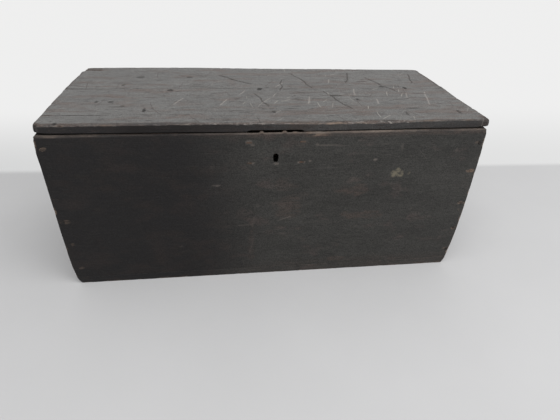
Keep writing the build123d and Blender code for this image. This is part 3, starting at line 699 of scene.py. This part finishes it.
def shape_bottom(offset):
    """Shape of a bottom plank, whose outer face is its underside."""

    def shape(u, v, w):
        width = v.max()
        size = (body_length, width, bottom)
        x, z = u - side_x, w
        rough = layered(u, v + offset, 2, 26)
        chip = ease(noise(u, v + offset, 4, 17), 0.66, 0.86)
        radius = (0.8 + 1.3 * rough + 1.2 * chip) * (1 - 0.85 * ease(w, 7, 12))
        new_u, new_v, new_w = round_arrises(u, v, w, size, radius)
        new_x = outline(new_u - side_x, new_w)
        side = ease(np.abs(v - width / 2), width / 2 - 3, width / 2 - 0.5)
        push = 0.5 * layered(x, z, 8, 120, 20) * side
        new_v = new_v - push * np.sign(v - width / 2)
        bare = 0.5 * ease(edge_distance(u, v, w, size), 4 + 6 * rough, 1) * ease(rough, 0.3, 0.55)
        under = ease(side, 0.5, 0.1) * ease(w, 3, 0)
        dark = 0.5 * under * layered(x, v, 9, 60, 20)
        red = 0.6 * layered(x, z, 10, 90, 12) * side * ease(x, -260, 60)
        inside = inner_side(w, bottom, 0.6, 0.9) * (1 - side) * ease(from_ends(u, size), 1, 5)
        found = {"bare": bare + 0.8 * under, "dark": dark, "red": red, "inside": inside}
        # Painted shade: the plank's edge faces take the darker paint towards the left, as the front board
        # does
        found["deep"] = ease(x, 0, -240) * side
        return new_x + side_x, new_v, new_w, found

    return shape


def shape_plain(size, seed, soft):
    """Shape of an unpainted inner board with eased arrises."""

    def shape(u, v, w):
        rough = layered(u, v, seed, 30)
        radius = np.minimum(soft * (0.5 + rough), size[2] * 0.3)
        new_u, new_v, new_w = round_arrises(u, v, w, size, radius)
        depth = 0.3 * layered(u, v, seed + 1, 140, 20, 2)
        return new_u, new_v, sink(new_w, size[2], depth), {"inside": np.ones_like(u)}

    return shape


# Procedural materials


class Value:
    """What a node gives. Arithmetic on it puts math nodes into the same tree."""

    def __init__(self, socket):
        self.socket = socket
        self.tree = socket.id_data

    def __add__(self, other):
        return calc("ADD", self, other)

    def __sub__(self, other):
        return calc("SUBTRACT", self, other)

    def __rsub__(self, other):
        return calc("SUBTRACT", other, self)

    def __mul__(self, other):
        return calc("MULTIPLY", self, other)

    def __truediv__(self, other):
        return calc("DIVIDE", self, other)

    def __abs__(self):
        return calc("ABSOLUTE", self)


def put(tree, kind, inputs=None, **settings):
    """Adds a node to a tree, sets its settings, and links or sets its inputs."""
    made = tree.nodes.new("ShaderNode" + kind)
    for name, value in settings.items():
        setattr(made, name, value)
    for name, value in (inputs or {}).items():
        if isinstance(value, Value):
            tree.links.new(value.socket, made.inputs[name])
        else:
            made.inputs[name].default_value = value
    return made


def result(tree, kind, inputs=None, output=0, **settings):
    """What a new node gives."""
    return Value(put(tree, kind, inputs, **settings).outputs[output])


def calc(operation, *terms):
    """A math node's result."""
    tree = next(term.tree for term in terms if isinstance(term, Value))
    return result(tree, "Math", dict(enumerate(terms)), operation=operation)


def parts(value, kind="SeparateXYZ"):
    """The three numbers of a place or a colour."""
    return [Value(socket) for socket in put(value.tree, kind, {0: value}).outputs]


def between(value, low, high):
    """0 at low, 1 at high, smooth between."""
    inputs = {"Value": value, "From Min": low, "From Max": high}
    return result(value.tree, "MapRange", inputs, interpolation_type="SMOOTHSTEP")


def blend(factor, first, second, mode="MIX"):
    """A mix of two colours."""
    tree = next(value.tree for value in (factor, first, second) if isinstance(value, Value))
    first, second = [value if isinstance(value, Value) else (*value, 1) for value in (first, second)]
    return result(tree, "Mix", {0: factor, 6: first, 7: second}, 2, data_type="RGBA", blend_type=mode)


def texture(place, scale, detail=4.0, roughness=0.55):
    """Noise at a place, from 0 to 1."""
    inputs = {"Vector": place, "Scale": scale, "Detail": detail, "Roughness": roughness}
    return result(place.tree, "TexNoise", inputs, "Fac")


def stretched(place, scale, offset):
    """A place scaled by a different amount along each axis, and moved."""
    return result(place.tree, "Mapping", {"Vector": place, "Scale": scale, "Location": offset})


def grain(place, scale, offset, detail=4.0, roughness=0.55):
    """Noise with its own scale along each axis."""
    return texture(stretched(place, scale, offset), 1.0, detail, roughness)


def new_material(name):
    """An empty material, its tree of nodes, and the place on the object."""
    material = bpy.data.materials.new(name)
    material.use_nodes = True
    tree = material.node_tree
    tree.nodes.clear()
    return material, tree, result(tree, "TexCoord", output="Object")


def surface(relief, strength, distance, inputs):
    """A shader with a relief and the inputs that are named."""
    normal = result(relief.tree, "Bump", {"Height": relief, "Strength": strength, "Distance": distance})
    return result(relief.tree, "BsdfPrincipled", {**inputs, "Normal": normal})


def strokes(flat, cell, long, wide, turn, spread, chance, seed):
    """Straight scratches over a plane, one in some of its cells, each with its own length and angle."""
    place = stretched(flat, (1 / cell, 1 / cell, 1), (seed, seed * 0.37, 0))
    cells = put(flat.tree, "TexVoronoi", {"Vector": place, "Scale": 1.0}, voronoi_dimensions="2D").outputs
    ends = {0: place, 1: Value(cells["Position"])}
    x, y, z = parts(result(flat.tree, "VectorMath", ends, operation="SUBTRACT"))
    first, second, third = parts(Value(cells["Color"]), "SeparateColor")
    angle = first * spread + (turn - spread / 2)
    cosine, sine = calc("COSINE", angle), calc("SINE", angle)
    along = x * cosine + y * sine
    bend = along * along * (second - 0.5)
    off = abs(bend * 0.5 + (y * cosine - x * sine))
    reach = second * (long / cell * 0.35) + long / cell * 0.15
    inside = between(abs(along) / reach, 1.0, 0.7)
    line = between(off, wide / cell * 0.6, wide / cell * 0.25)
    return inside * line * calc("LESS_THAN", third, chance)


def times(colour, factor):
    """A colour made lighter or darker."""
    return tuple(value * factor for value in colour)


rings_per_metre = 240.0
# Scratches, fine, long and dark: size of a cell, length, width, turn, spread of turns, and chance
lid_scratches = (
    (0.042, 0.05, 0.0025, 1.15, 1.3, 0.72),
    (0.11, 0.16, 0.0012, 0.3, 2.6, 0.6),
    (0.085, 0.10, 0.0022, 1.5, 1.3, 0.35),
)
body_scratches = (
    (0.07, 0.05, 0.0010, 0.5, 2.8, 0.35),
    (0.16, 0.18, 0.0010, 0.0, 0.5, 0.5),
    (0.12, 0.10, 0.0012, 0.1, 0.6, 0.4),
)
scratch_seeds = (3, 11, 17)


def wood(place, axis, pith, seed):
    """Growth rings round a pith that runs along one axis, so that faces and ends agree."""
    x, y, z = parts(place)
    run, first = (x, y) if axis == "X" else (y, x)
    along = result(place.tree, "CombineXYZ", {0: run, 1: first, 2: z})
    slow = grain(along, (1.6, 5, 5), (seed, 0, 0), 3.0)
    quick = grain(along, (5, 40, 40), (seed, 2, 0), 3.0)
    near, far = first - pith[0], z - pith[1]
    radius = calc("SQRT", near * near + far * far) + slow * 0.065 + quick * 0.0035
    wave = calc("FRACT", radius * rings_per_metre)
    late = between(wave, 0.25, 0.86) * (1.0 - between(wave, 0.9, 1.0))
    fibre = grain(along, (14, 900, 900), (0, 0, seed), 2.0, 0.6)
    broad = grain(along, (3, 14, 14), (0, seed, 0), 3.0)
    return along, late, fibre, broad


def board_material(name, axis, pith, seed, paint=(0.0325, 0.0313, 0.0288), flat="XZ", lid=False, hole=None):
    """Pine with worn dark paint on the outside and bare wood where the mesh says so."""
    material, tree, place = new_material(name)
    along, late, fibre, broad = wood(place, axis, pith, seed)
    worn = {mark: result(tree, "Attribute", output="Fac", attribute_name=mark) for mark in mark_names}

    # Bare pine: pale early wood, darker late wood, fibres and dirt
    early = blend(broad, (0.36, 0.235, 0.13), (0.27, 0.165, 0.085))
    timber = blend(late * 0.75, early, (0.15, 0.075, 0.032))
    timber = blend(between(fibre, 0.5, 0.75) * 0.4, timber, (0.13, 0.075, 0.04))
    stain = grain(place, (6, 6, 6), (seed, seed, 0), 5.0, 0.62)
    timber = blend(between(stain, 0.5, 0.72) * 0.55, timber, (0.09, 0.062, 0.042))
    ragged = grain(along, (60, 220, 220), (4, seed, 0), 4.0, 0.65)
    grimy = blend(between(ragged, 0.35, 0.7), (0.085, 0.066, 0.055), (0.165, 0.125, 0.100))
    timber = blend(worn["inside"], blend(0.93, timber, grimy), timber)

    # Paint: dark, mottled, with dark flecks along the grain and a fine grain of dirt
    blotch = grain(along, (7, 16, 16), (seed, 3, 1), 5.0, 0.6)
    mottle = grain(along, (30, 160, 160), (1, seed, 2), 3.0, 0.6)
    flecks = between(grain(along, (34, 230, 230), (2, 1, seed), 2.0, 0.5), 0.58, 0.66)
    pits = between(grain(place, (90, 120, 120), (seed, 5, 0), 1.0), 0.68, 0.74)
    grit = grain(place, (420, 420, 420), (0, seed, 3), 3.0, 0.7)
    pink = grain(place, (15, 30, 30), (seed, 8, 2), 4.0, 0.6)
    smoke = grain(along, (9, 60, 60), (seed, 6, 4), 4.0, 0.6)
    cover = blend(between(blotch, 0.3, 0.7), times(paint, 0.8), times(paint, 1.22))
    rosy = (0.085, 0.062, 0.054) if lid else (0.058, 0.045, 0.041)
    cover = blend(between(pink, 0.55, 0.72) * 0.6, cover, rosy)
    cover = blend(between(mottle, 0.5, 0.72) * 0.35, cover, times(paint, 1.55))
    cover = blend(late * 0.12, cover, times(paint, 0.5))
    smoky = (0.052, 0.043, 0.038) if lid else times(paint, 0.7)
    cover = blend(between(smoke, 0.5, 0.7) * (0.6 if lid else 0.2), cover, smoky)
    brown = (0.082, 0.054, 0.043) if lid else (0.064, 0.044, 0.036)
    cover = blend(worn["red"] * between(mottle, 0.25, 0.65) * 0.85, cover, brown)
    # The darker paint that the deep mark puts on is painted shade
    under = blend(between(pink, 0.42, 0.7), (0.0092, 0.0083, 0.0088), (0.0155, 0.0118, 0.0110))
    cover = blend(between((blotch - 0.5) * 0.35 + worn["deep"], -0.02, 1.02), cover, under)
    dotted = (0.024, 0.018, 0.016) if lid else times(paint, 0.45)
    cover = blend(calc("MAXIMUM", flecks, pits) * (0.75 if lid else 0.35), cover, dotted)
    lift = between(grit, 0.3, 0.7) * 0.9 + 0.55
    cover = blend(1.0, cover, result(tree, "CombineColor", {0: lift, 1: lift, 2: lift}), "MULTIPLY")

    # Fine scratches, fewer where the lid is quiet at its left
    x, y, z = parts(place)
    first, second = y if flat == "YZ" else x, y if flat == "XY" else z
    sheet = result(tree, "CombineXYZ", {0: first, 1: second, 2: 0.0})
    clusters = between(texture(sheet, 5.0, 2.0), 0.48, 0.62)
    kinds = zip(lid_scratches if lid else body_scratches, scratch_seeds)
    fine, long, black = [strokes(sheet, *kind, start + seed) for kind, start in kinds]
    fine = fine * (clusters * (0.85 if lid else 0.6) + 0.1)
    if lid:
        fine = fine * (between(first, -0.2, 0.05) * 0.7 + 0.3)
    open_face = 1.0 - worn["deep"]
    scratch = calc("MAXIMUM", fine, long * 0.35) * open_face
    black = black * open_face
    cover = blend(scratch * 0.8, cover, (0.28, 0.262, 0.235) if lid else (0.10, 0.09, 0.08))
    cut = (0.034, 0.021, 0.017) if lid else times(paint, 0.35)
    cover = blend(black * (0.75 if lid else 0.5), cover, cut)

    # Where the paint is gone, chipped or waxed; dark marks, and painted shade
    bare = between((ragged - 0.5) * 0.9 + worn["bare"], 0.2, 0.95)
    inside = between((blotch - 0.5) * 0.8 + worn["inside"], 0.42, 0.58)
    gone = calc("MAXIMUM", bare, inside)
    colour = blend(gone, cover, timber)
    chipped = (0.27, 0.245, 0.225) if lid else (0.17, 0.145, 0.128)
    colour = blend(worn["pale"] * (ragged * 0.7 + 0.35), colour, chipped)
    nicks = between(grain(place, (90, 300, 300), (seed, 1, 1), 2.0, 0.5), 0.54, 0.62)
    colour = blend(nicks * worn["nicks"] * 0.85, colour, chipped)
    crumbs = grain(place, (160, 160, 160), (seed, 4, 1), 4.0, 0.65)
    waxy = between((crumbs - 0.55) * 3.0 + worn["wax"], 0.1, 1.2) * worn["wax"]
    colour = blend(waxy * 0.85, colour, (0.15, 0.132, 0.096))
    # Dark marks: knots, cuts, cracks, joints and gouges, with painted shade under the lid and in the recess
    colour = blend(worn["dark"] * 0.92, colour, (0.006, 0.0043, 0.0037))
    if hole:
        # Painted shade: inside the cut through the board for the key, behind its front edge, it is near black
        from_x, from_z = (x - hole[0]) / 0.010, (z - hole[1]) / 0.016
        within = calc("LESS_THAN", from_x * from_x + from_z * from_z, 1.0)
        hole_shade = within * between(y, front_y * mm + 0.0012, front_y * mm + 0.003)
        colour = blend(hole_shade, colour, (0.002, 0.0016, 0.0014))

    # Roughness and relief
    rough = blotch * 0.22 + (0.30 if lid else 0.40) + gone * 0.3 + mottle * 0.1 + worn["dark"] * 0.35
    relief = late * 0.3 + fibre * 0.45 + mottle * 0.5 + grit * 0.5
    relief = relief - flecks * 0.6 - scratch * 0.6 - black * 0.9 - gone * 0.35
    inputs = {"Base Color": colour, "Roughness": rough, "Specular IOR Level": 0.34 if lid else 0.28}
    put(tree, "OutputMaterial", {"Surface": surface(relief, 0.55, 0.0006, inputs)})
    return material


def iron_material(name, dark, rust, amount, seed, rough=0.5, shade_at_front=False):
    """Forged iron: dark scale, rust in patches, a hammered surface. The lock's shaded iron is painted near
    black towards the rim's front, as shade under the lid.
    """
    material, tree, place = new_material(name)
    patches = texture(stretched(place, (1, 1, 1), (seed, 0, 0)), 70.0, 5.0, 0.62)
    scale = texture(place, 900.0, 3.0, 0.6)
    inputs = {"Vector": place, "Scale": 130.0, "Smoothness": 0.8}
    hammer = result(tree, "TexVoronoi", inputs, "Distance", feature="SMOOTH_F1")
    rusty = between(patches, 0.62 - amount * 0.4, 0.78 - amount * 0.3)
    colour = blend(rusty, dark, rust)
    colour = blend(between(scale, 0.5, 0.75) * 0.45, colour, times(dark, 0.5))
    rub = between(texture(place, 26.0, 2.0), 0.52, 0.68)
    colour = blend(rub * 0.25, colour, (0.16, 0.145, 0.13))
    # Painted shade: near black towards the rim's front, under the lid
    if shade_at_front:
        colour = blend(between(parts(place)[1], -0.202, -0.212), colour, (0.004, 0.0035, 0.003))
    relief = scale * 0.25 + hammer * 1.2 + rusty * 0.3
    inputs = {"Base Color": colour, "Roughness": rusty * 0.28 + rough, "Metallic": 0.55}
    put(tree, "OutputMaterial", {"Surface": surface(relief, 0.5, 0.0007, inputs)})
    return material


def nail_material():
    """A forged nail whose head still has some paint on it."""
    material, tree, place = new_material("painted_nail")
    patches = texture(place, 330.0, 4.0, 0.62)
    bare = (patches - 0.5) * 1.5 + result(tree, "Attribute", output="Fac", attribute_name="bare")
    rust = blend(between(patches, 0.35, 0.65), (0.10, 0.070, 0.052), (0.16, 0.118, 0.09))
    colour = blend(between(bare, 0.35, 0.9), (0.013, 0.0115, 0.011), rust)
    inputs = {"Base Color": colour, "Roughness": 0.6, "Specular IOR Level": 0.25}
    put(tree, "OutputMaterial", {"Surface": surface(patches, 0.5, 0.0006, inputs)})
    return material


def floor_material():
    """A pale, plain floor, paler behind the chest."""
    material, tree, place = new_material("floor")
    x, y, z = parts(place)
    near = blend(texture(place, 2.2, 4.0), (0.53, 0.53, 0.535), (0.60, 0.60, 0.605))
    shader = surface(texture(place, 160.0, 3.0), 0.15, 0.001, {"Base Color": near, "Roughness": 0.85})
    # Behind the chest, camera rays see a glowing pale backdrop with painted shade near the floor line and at
    # the left
    shade = between(y, 1.1, 0.38) * (x * -0.2 + 0.7)
    far = blend(shade, (0.86, 0.86, 0.858), (0.64, 0.645, 0.645))
    pale = result(tree, "Emission", {"Color": far, "Strength": 1.0})
    seen = between(x * 0.028 + y, 0.36, 0.40) * result(tree, "LightPath", output="Is Camera Ray")
    both = result(tree, "MixShader", {0: seen, 1: shader, 2: pale})
    put(tree, "OutputMaterial", {"Surface": both})
    return material


# The boards in their places


def facing(origin, along, across):
    """Gives the function that turns a board's own millimetres into the model's. Depth runs inwards."""
    along, across = np.array(along, float), np.array(across, float)
    inwards = -np.cross(along, across)

    def place(u, v, w):
        return np.array(origin, float) + np.outer(u, along) + np.outer(v, across) + np.outer(w, inwards)

    return place


def add_piece(name, mesh):
    """An object for a mesh, linked to the scene."""
    piece = bpy.data.objects.new(name, mesh)
    bpy.context.scene.collection.objects.link(piece)
    return piece


def dress(piece, node, body, material):
    """Makes a piece stand for a node, ride on its body and take a material."""
    piece.data.materials.append(material)
    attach(piece, body)
    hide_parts(node)


def cut_keyhole(piece):
    """Cuts the keyhole through the front board."""
    hole_points = []
    for turn in np.linspace(0, math.pi, 13):
        across, rise = keyhole_radius * math.cos(turn), keyhole_radius * math.sin(turn)
        hole_points.append((lock_x + across, keyhole_z + 4.5 + rise))
    below = ((-5.9, -2), (-5.2, -8.5), (-3.6, -10.6), (3.2, -10.9), (5.0, -9.0), (5.8, -2.5))
    hole_points += [(lock_x + x, keyhole_z + z) for x, z in below]
    count = len(hole_points)
    points = [(x * mm, y * mm, z * mm) for y in (front_y - 3, front_y + board + 3) for x, z in hole_points]
    faces = [tuple(range(count)), tuple(range(2 * count - 1, count - 1, -1))]
    for k in range(count):
        following = (k + 1) % count
        faces.append((k, k + count, following + count, following))
    mesh = bpy.data.meshes.new("keyhole_cutter")
    mesh.from_pydata(points, [], faces)
    mesh.update()
    cutter = add_piece("keyhole_cutter", mesh)
    cut = piece.modifiers.new("keyhole", "BOOLEAN")
    cut.operation = "DIFFERENCE"
    cut.solver = "EXACT"
    cut.object = cutter
    bpy.context.view_layer.update()
    evaluated = piece.evaluated_get(bpy.context.evaluated_depsgraph_get())
    holed = bpy.data.meshes.new_from_object(evaluated)
    piece.modifiers.clear()
    piece.data = holed
    bpy.data.objects.remove(cutter)


def add_board(node, body, size, steps, frame_of, shape, material, extra=((), ()), cut=None):
    """Makes a worn board for a node. steps and extra set its grid, and frame_of says where it goes."""
    us, vs = [lines(size[k], steps[k], extra[k]) for k in (0, 1)]
    piece = board_mesh(node + "_worn", size, us, vs, thickness_lines(size[2]), facing(*frame_of), shape)
    if cut:
        cut(piece)
    dress(piece, node, body, material)


to_right, to_left, to_back, to_front, upwards = (1, 0, 0), (-1, 0, 0), (0, 1, 0), (0, -1, 0), (0, 0, 1)
add_board(
    "front_board",
    "chest",
    (body_length, carcass_height, board),
    (2.9, 2.5),
    ((-side_x, front_y, bottom), to_right, upwards),
    shape_front,
    board_material("paint_front", "X", (-0.33, 0.20), 2.0, hole=(lock_x * mm, keyhole_z * mm)),
    ((441.5, 443.0, 467.5, 470.0, 472.5, 518.0, 521.0, 524.0, 562.0, 563.5), ()),
    cut_keyhole,
)
add_board(
    "back_board",
    "chest",
    (body_length, carcass_height, board),
    (3.6, 3.2),
    ((side_x, back_y, bottom), to_left, upwards),
    shape_back,
    board_material("paint_back", "X", (0.30, 0.16), 5.0),
    ((152.5, 153.6, 186.4, 187.5, 812.5, 813.6, 846.4, 847.5), ()),
)
for side, sign, pith in (("left", -1, (-0.62, 0.23)), ("right", 1, (0.60, 0.17))):
    add_board(
        f"end_board_{side}",
        "chest",
        (depth_inside, carcass_height, board),
        (3.2, 3.0),
        ((sign * side_x, -sign * inner_back, bottom), (0, sign, 0), upwards),
        shape_end(sign),
        board_material("paint_end_" + side, "Y", pith, 7.0 + sign, flat="YZ"),
    )
for part, near, far, pith in (
    ("front", front_y, bottom_joint_y, (-0.10, -0.09)),
    ("rear", bottom_joint_y, back_y, (0.11, -0.11)),
):
    add_board(
        f"bottom_plank_{part}",
        "chest",
        (body_length, far - near, bottom),
        (3.4, 8.0),
        ((-side_x, far, 0), to_right, to_front),
        shape_bottom(near),
        board_material("paint_bottom_" + part, "X", pith, 9.0 + far * 0.01, flat="XY"),
    )

# The lid's boards, with finer grid lines along their cracks
# The lid's grey paint is dust and a painted sheen; its edges and ends take the darker paint
lid_dust_and_sheen_paint = (0.1, 0.098, 0.094)
for part, near, far, shape, pith, seed, crack_lines in (
    ("front", lid_front_y, lid_joint_y, shape_lid_front, (-0.06, 0.35), 3.0, np.arange(53.4, 59.9, 0.65)),
    ("rear", lid_joint_y, lid_back_y, shape_lid_rear, (0.17, 0.33), 4.0, np.arange(158.5, 167.5, 0.8)),
):
    add_board(
        f"lid_board_{part}",
        "lid",
        (lid_length, far - near, lid_thick),
        (2.5, 2.2),
        ((-lid_length / 2, near, lid_z + lid_thick), to_right, to_back),
        shape,
        board_material("paint_lid_" + part, "X", pith, seed, paint=lid_dust_and_sheen_paint, flat="XY", lid=True),
        ((), tuple(crack_lines)),
    )

# Unpainted boards: battens under the lid and the till
batten_size = (372.0, 42.0, 18.0)
batten_x = 446
batten_front_y = -193
for side, sign in (("left", -1), ("right", 1)):
    add_board(
        f"lid_batten_{side}",
        "lid",
        batten_size,
        (6.0, 3.0),
        ((sign * batten_x - batten_size[1] / 2, batten_front_y, lid_z - batten_size[2]), to_back, to_right),
        shape_plain(batten_size, 3 + sign, 2.6),
        board_material("pine_batten_" + side, "Y", (sign * 0.42, 0.30), 12.0 + sign, flat="YZ"),
    )
till_x, till_z, till_thick = -348, 285, 10.0
let_in = 0.3
for part, width, step, x, z, across, seed, soft, pith, flat in (
    ("side", 93.0, 4.0, till_x, till_z, upwards, 6, 2.4, (-0.40, 0.27), "YZ"),
    ("bottom", 120.0, 5.0, till_x - till_thick, till_z + till_thick, to_left, 8, 0.8, (-0.42, 0.20), "XY"),
):
    size = (depth_inside + 2 * let_in, width, till_thick)
    add_board(
        f"till_{part}",
        "chest",
        size,
        (6.0, step),
        ((x, -inner_back - let_in, z), to_back, across),
        shape_plain(size, seed, soft),
        board_material("pine_till_" + part, "Y", pith, 12.0 + seed / 2, flat=flat),
    )

# Forged nails: rings of points down the head and the shank, each a share of the radius and a level
nail_length, nail_head, nail_shank = 52, 9, 4
proud = 0.1
head_rings = ((0.0, 0.35), (0.45, 0.28), (0.82, 0.02), (1.0, -0.45), (0.96, -1.6))
shank_rings = ((1.0, -2.0), (0.3, -nail_length))
turn_count = 10
head_paint = nail_material()


def forged_nails(node, places, out, shows, seed):
    """Nails with hammered heads: places are the middles of their tops, and out points away from the tip."""
    shake = np.random.default_rng(seed)
    out = np.array(out, float)
    side = np.array((0, 0, 1.0))
    across = np.cross(out, side)
    points, faces, bare = [], [], []
    for place, shown in zip(places, shows):
        first = len(points)
        angles = np.linspace(0, 2 * math.pi, turn_count, endpoint=False) + shake.random() * 6
        square = 1 / np.maximum(np.abs(np.cos(angles)), np.abs(np.sin(angles)))
        head = nail_head / 2 * (0.86 + 0.10 * square) * (0.93 + 0.14 * shake.random(turn_count))
        levels = [(head, *ring, 0.18 if ring[0] else 0) for ring in head_rings]
        levels += [(nail_shank / 2 * square, *ring, 0) for ring in shank_rings]
        for radii, share, level, shaken in levels:
            for angle, radius in zip(angles, radii * share):
                rise = level + (shaken * (shake.random() - 0.5) if shaken else 0)
                flat = side * math.cos(angle) * radius + across * math.sin(angle) * radius
                points.append(np.array(place) + flat + out * rise)
        bare += [shown] * (turn_count * len(levels))
        rings = [list(range(k, k + turn_count)) for k in range(first, len(points), turn_count)]
        for ring, lower in zip(rings, rings[1:]):
            for k in range(turn_count):
                following = (k + 1) % turn_count
                faces.append((ring[k], ring[following], lower[following], lower[k]))
        faces.append(tuple(rings[-1]))
    mesh = bpy.data.meshes.new(node + "_forged")
    mesh.from_pydata((np.array(points) * mm).tolist(), [], faces)
    mesh.attributes.new("bare", "FLOAT", "POINT").data.foreach_set("value", np.array(bare, np.float32))
    mesh.update()
    dress(add_piece(node + "_forged", mesh), node, "chest", head_paint)


for side, sign, shows in (
    ("left", -1, (0.55, 0.05, 0.12, 0.25, 0.2, 0.25)),
    ("right", 1, (0.35, 0.8, 0.5, 0.5, 0.35)),
):
    for face, y, out, seed in (("front", front_y - proud, to_front, 3), ("back", back_y + proud, to_back, 8)):
        places = [(sign * (nail_x - 2 * (z < 100)), y, z) for z in front_nails[side]]
        forged_nails(f"{face}_nails_{side}", places, out, shows, seed + sign)

# Iron for the nodes that are kept as they are
lock_look = ((0.045, 0.04, 0.036), (0.13, 0.062, 0.030), 0.4, 4.0, 0.42)
irons = {
    "hinge_iron": iron_material("hinge_iron", (0.028, 0.025, 0.023), (0.10, 0.048, 0.024), 0.35, 1.0),
    "lock_iron": iron_material("lock_iron", *lock_look),
    "nail_iron": iron_material("nail_iron", (0.05, 0.038, 0.031), (0.12, 0.078, 0.056), 0.7, 7.0, 0.6),
    "spring_steel": iron_material("spring_steel", (0.16, 0.15, 0.14), (0.11, 0.07, 0.045), 0.2, 9.0, 0.35),
}
# The lock plate and its flange's nails are painted near black at the front, as shade under the lid
shaded_lock_iron = iron_material("lock_iron_shaded", *lock_look, True)
for entry in frame["record"]["subparts"]:
    node, slot = entry["node"], entry["material_slot"]
    if slot in irons:
        materials = frame["nodes"][node].data.materials
        materials.clear()
        materials.append(shaded_lock_iron if node in ("lock_plate", "flange_nails") else irons[slot])

# Floor, light and camera
floor_mesh = bpy.data.meshes.new("floor")
reach = 9.0
floor_corners = [(-reach, -reach, 0), (reach, -reach, 0), (reach, reach, 0), (-reach, reach, 0)]
floor_mesh.from_pydata(floor_corners, [], [(0, 1, 2, 3)])
floor = add_piece("floor", floor_mesh)
floor_mesh.materials.append(floor_material())

# An even white room, a little brighter where it is mirrored
world = bpy.data.worlds.new("room_light")
bpy.context.scene.world = world
world.use_nodes = True
room = world.node_tree.nodes["Background"].inputs
room["Color"].default_value = (1.0, 1.0, 1.0, 1)
brightness = result(world.node_tree, "LightPath", output="Is Glossy Ray") * 0.2 + 0.66
world.node_tree.links.new(brightness.socket, room["Strength"])


def lamp(name, place, target, size, power):
    """A rectangular light that points at a target."""
    light = bpy.data.lights.new(name, "AREA")
    light.shape = "RECTANGLE"
    light.size, light.size_y = size
    light.energy = power
    holder = add_piece(name, light)
    holder.location = place
    holder.rotation_euler = (Vector(target) - Vector(place)).to_track_quat("-Z", "Y").to_euler()


lamp("window", (2.4, -1.6, 1.9), (0.1, 0, 0.2), (2.0, 1.6), 26.0)
lamp("sky", (0.1, -1.3, 2.7), (0, -0.1, 0.2), (3.0, 2.4), 40.0)

# The camera, as solved from the photograph
camera_data = bpy.data.cameras.new("camera")
camera_data.sensor_width = 36.0
camera_data.lens = 27.27
camera = add_piece("camera", camera_data)
right = Vector((0.991751, -0.123647, 0.033796))
up = Vector((0.039245, 0.543891, 0.838238))
forward = Vector((0.122026, 0.829997, -0.544256))
camera_place = (-0.10903, -1.07966, 0.76139)
turned = Matrix((right, up, -forward)).transposed()
camera.matrix_world = Matrix.Translation(camera_place) @ turned.to_4x4()
bpy.context.scene.camera = camera
bpy.context.scene.view_settings.view_transform = "Standard"
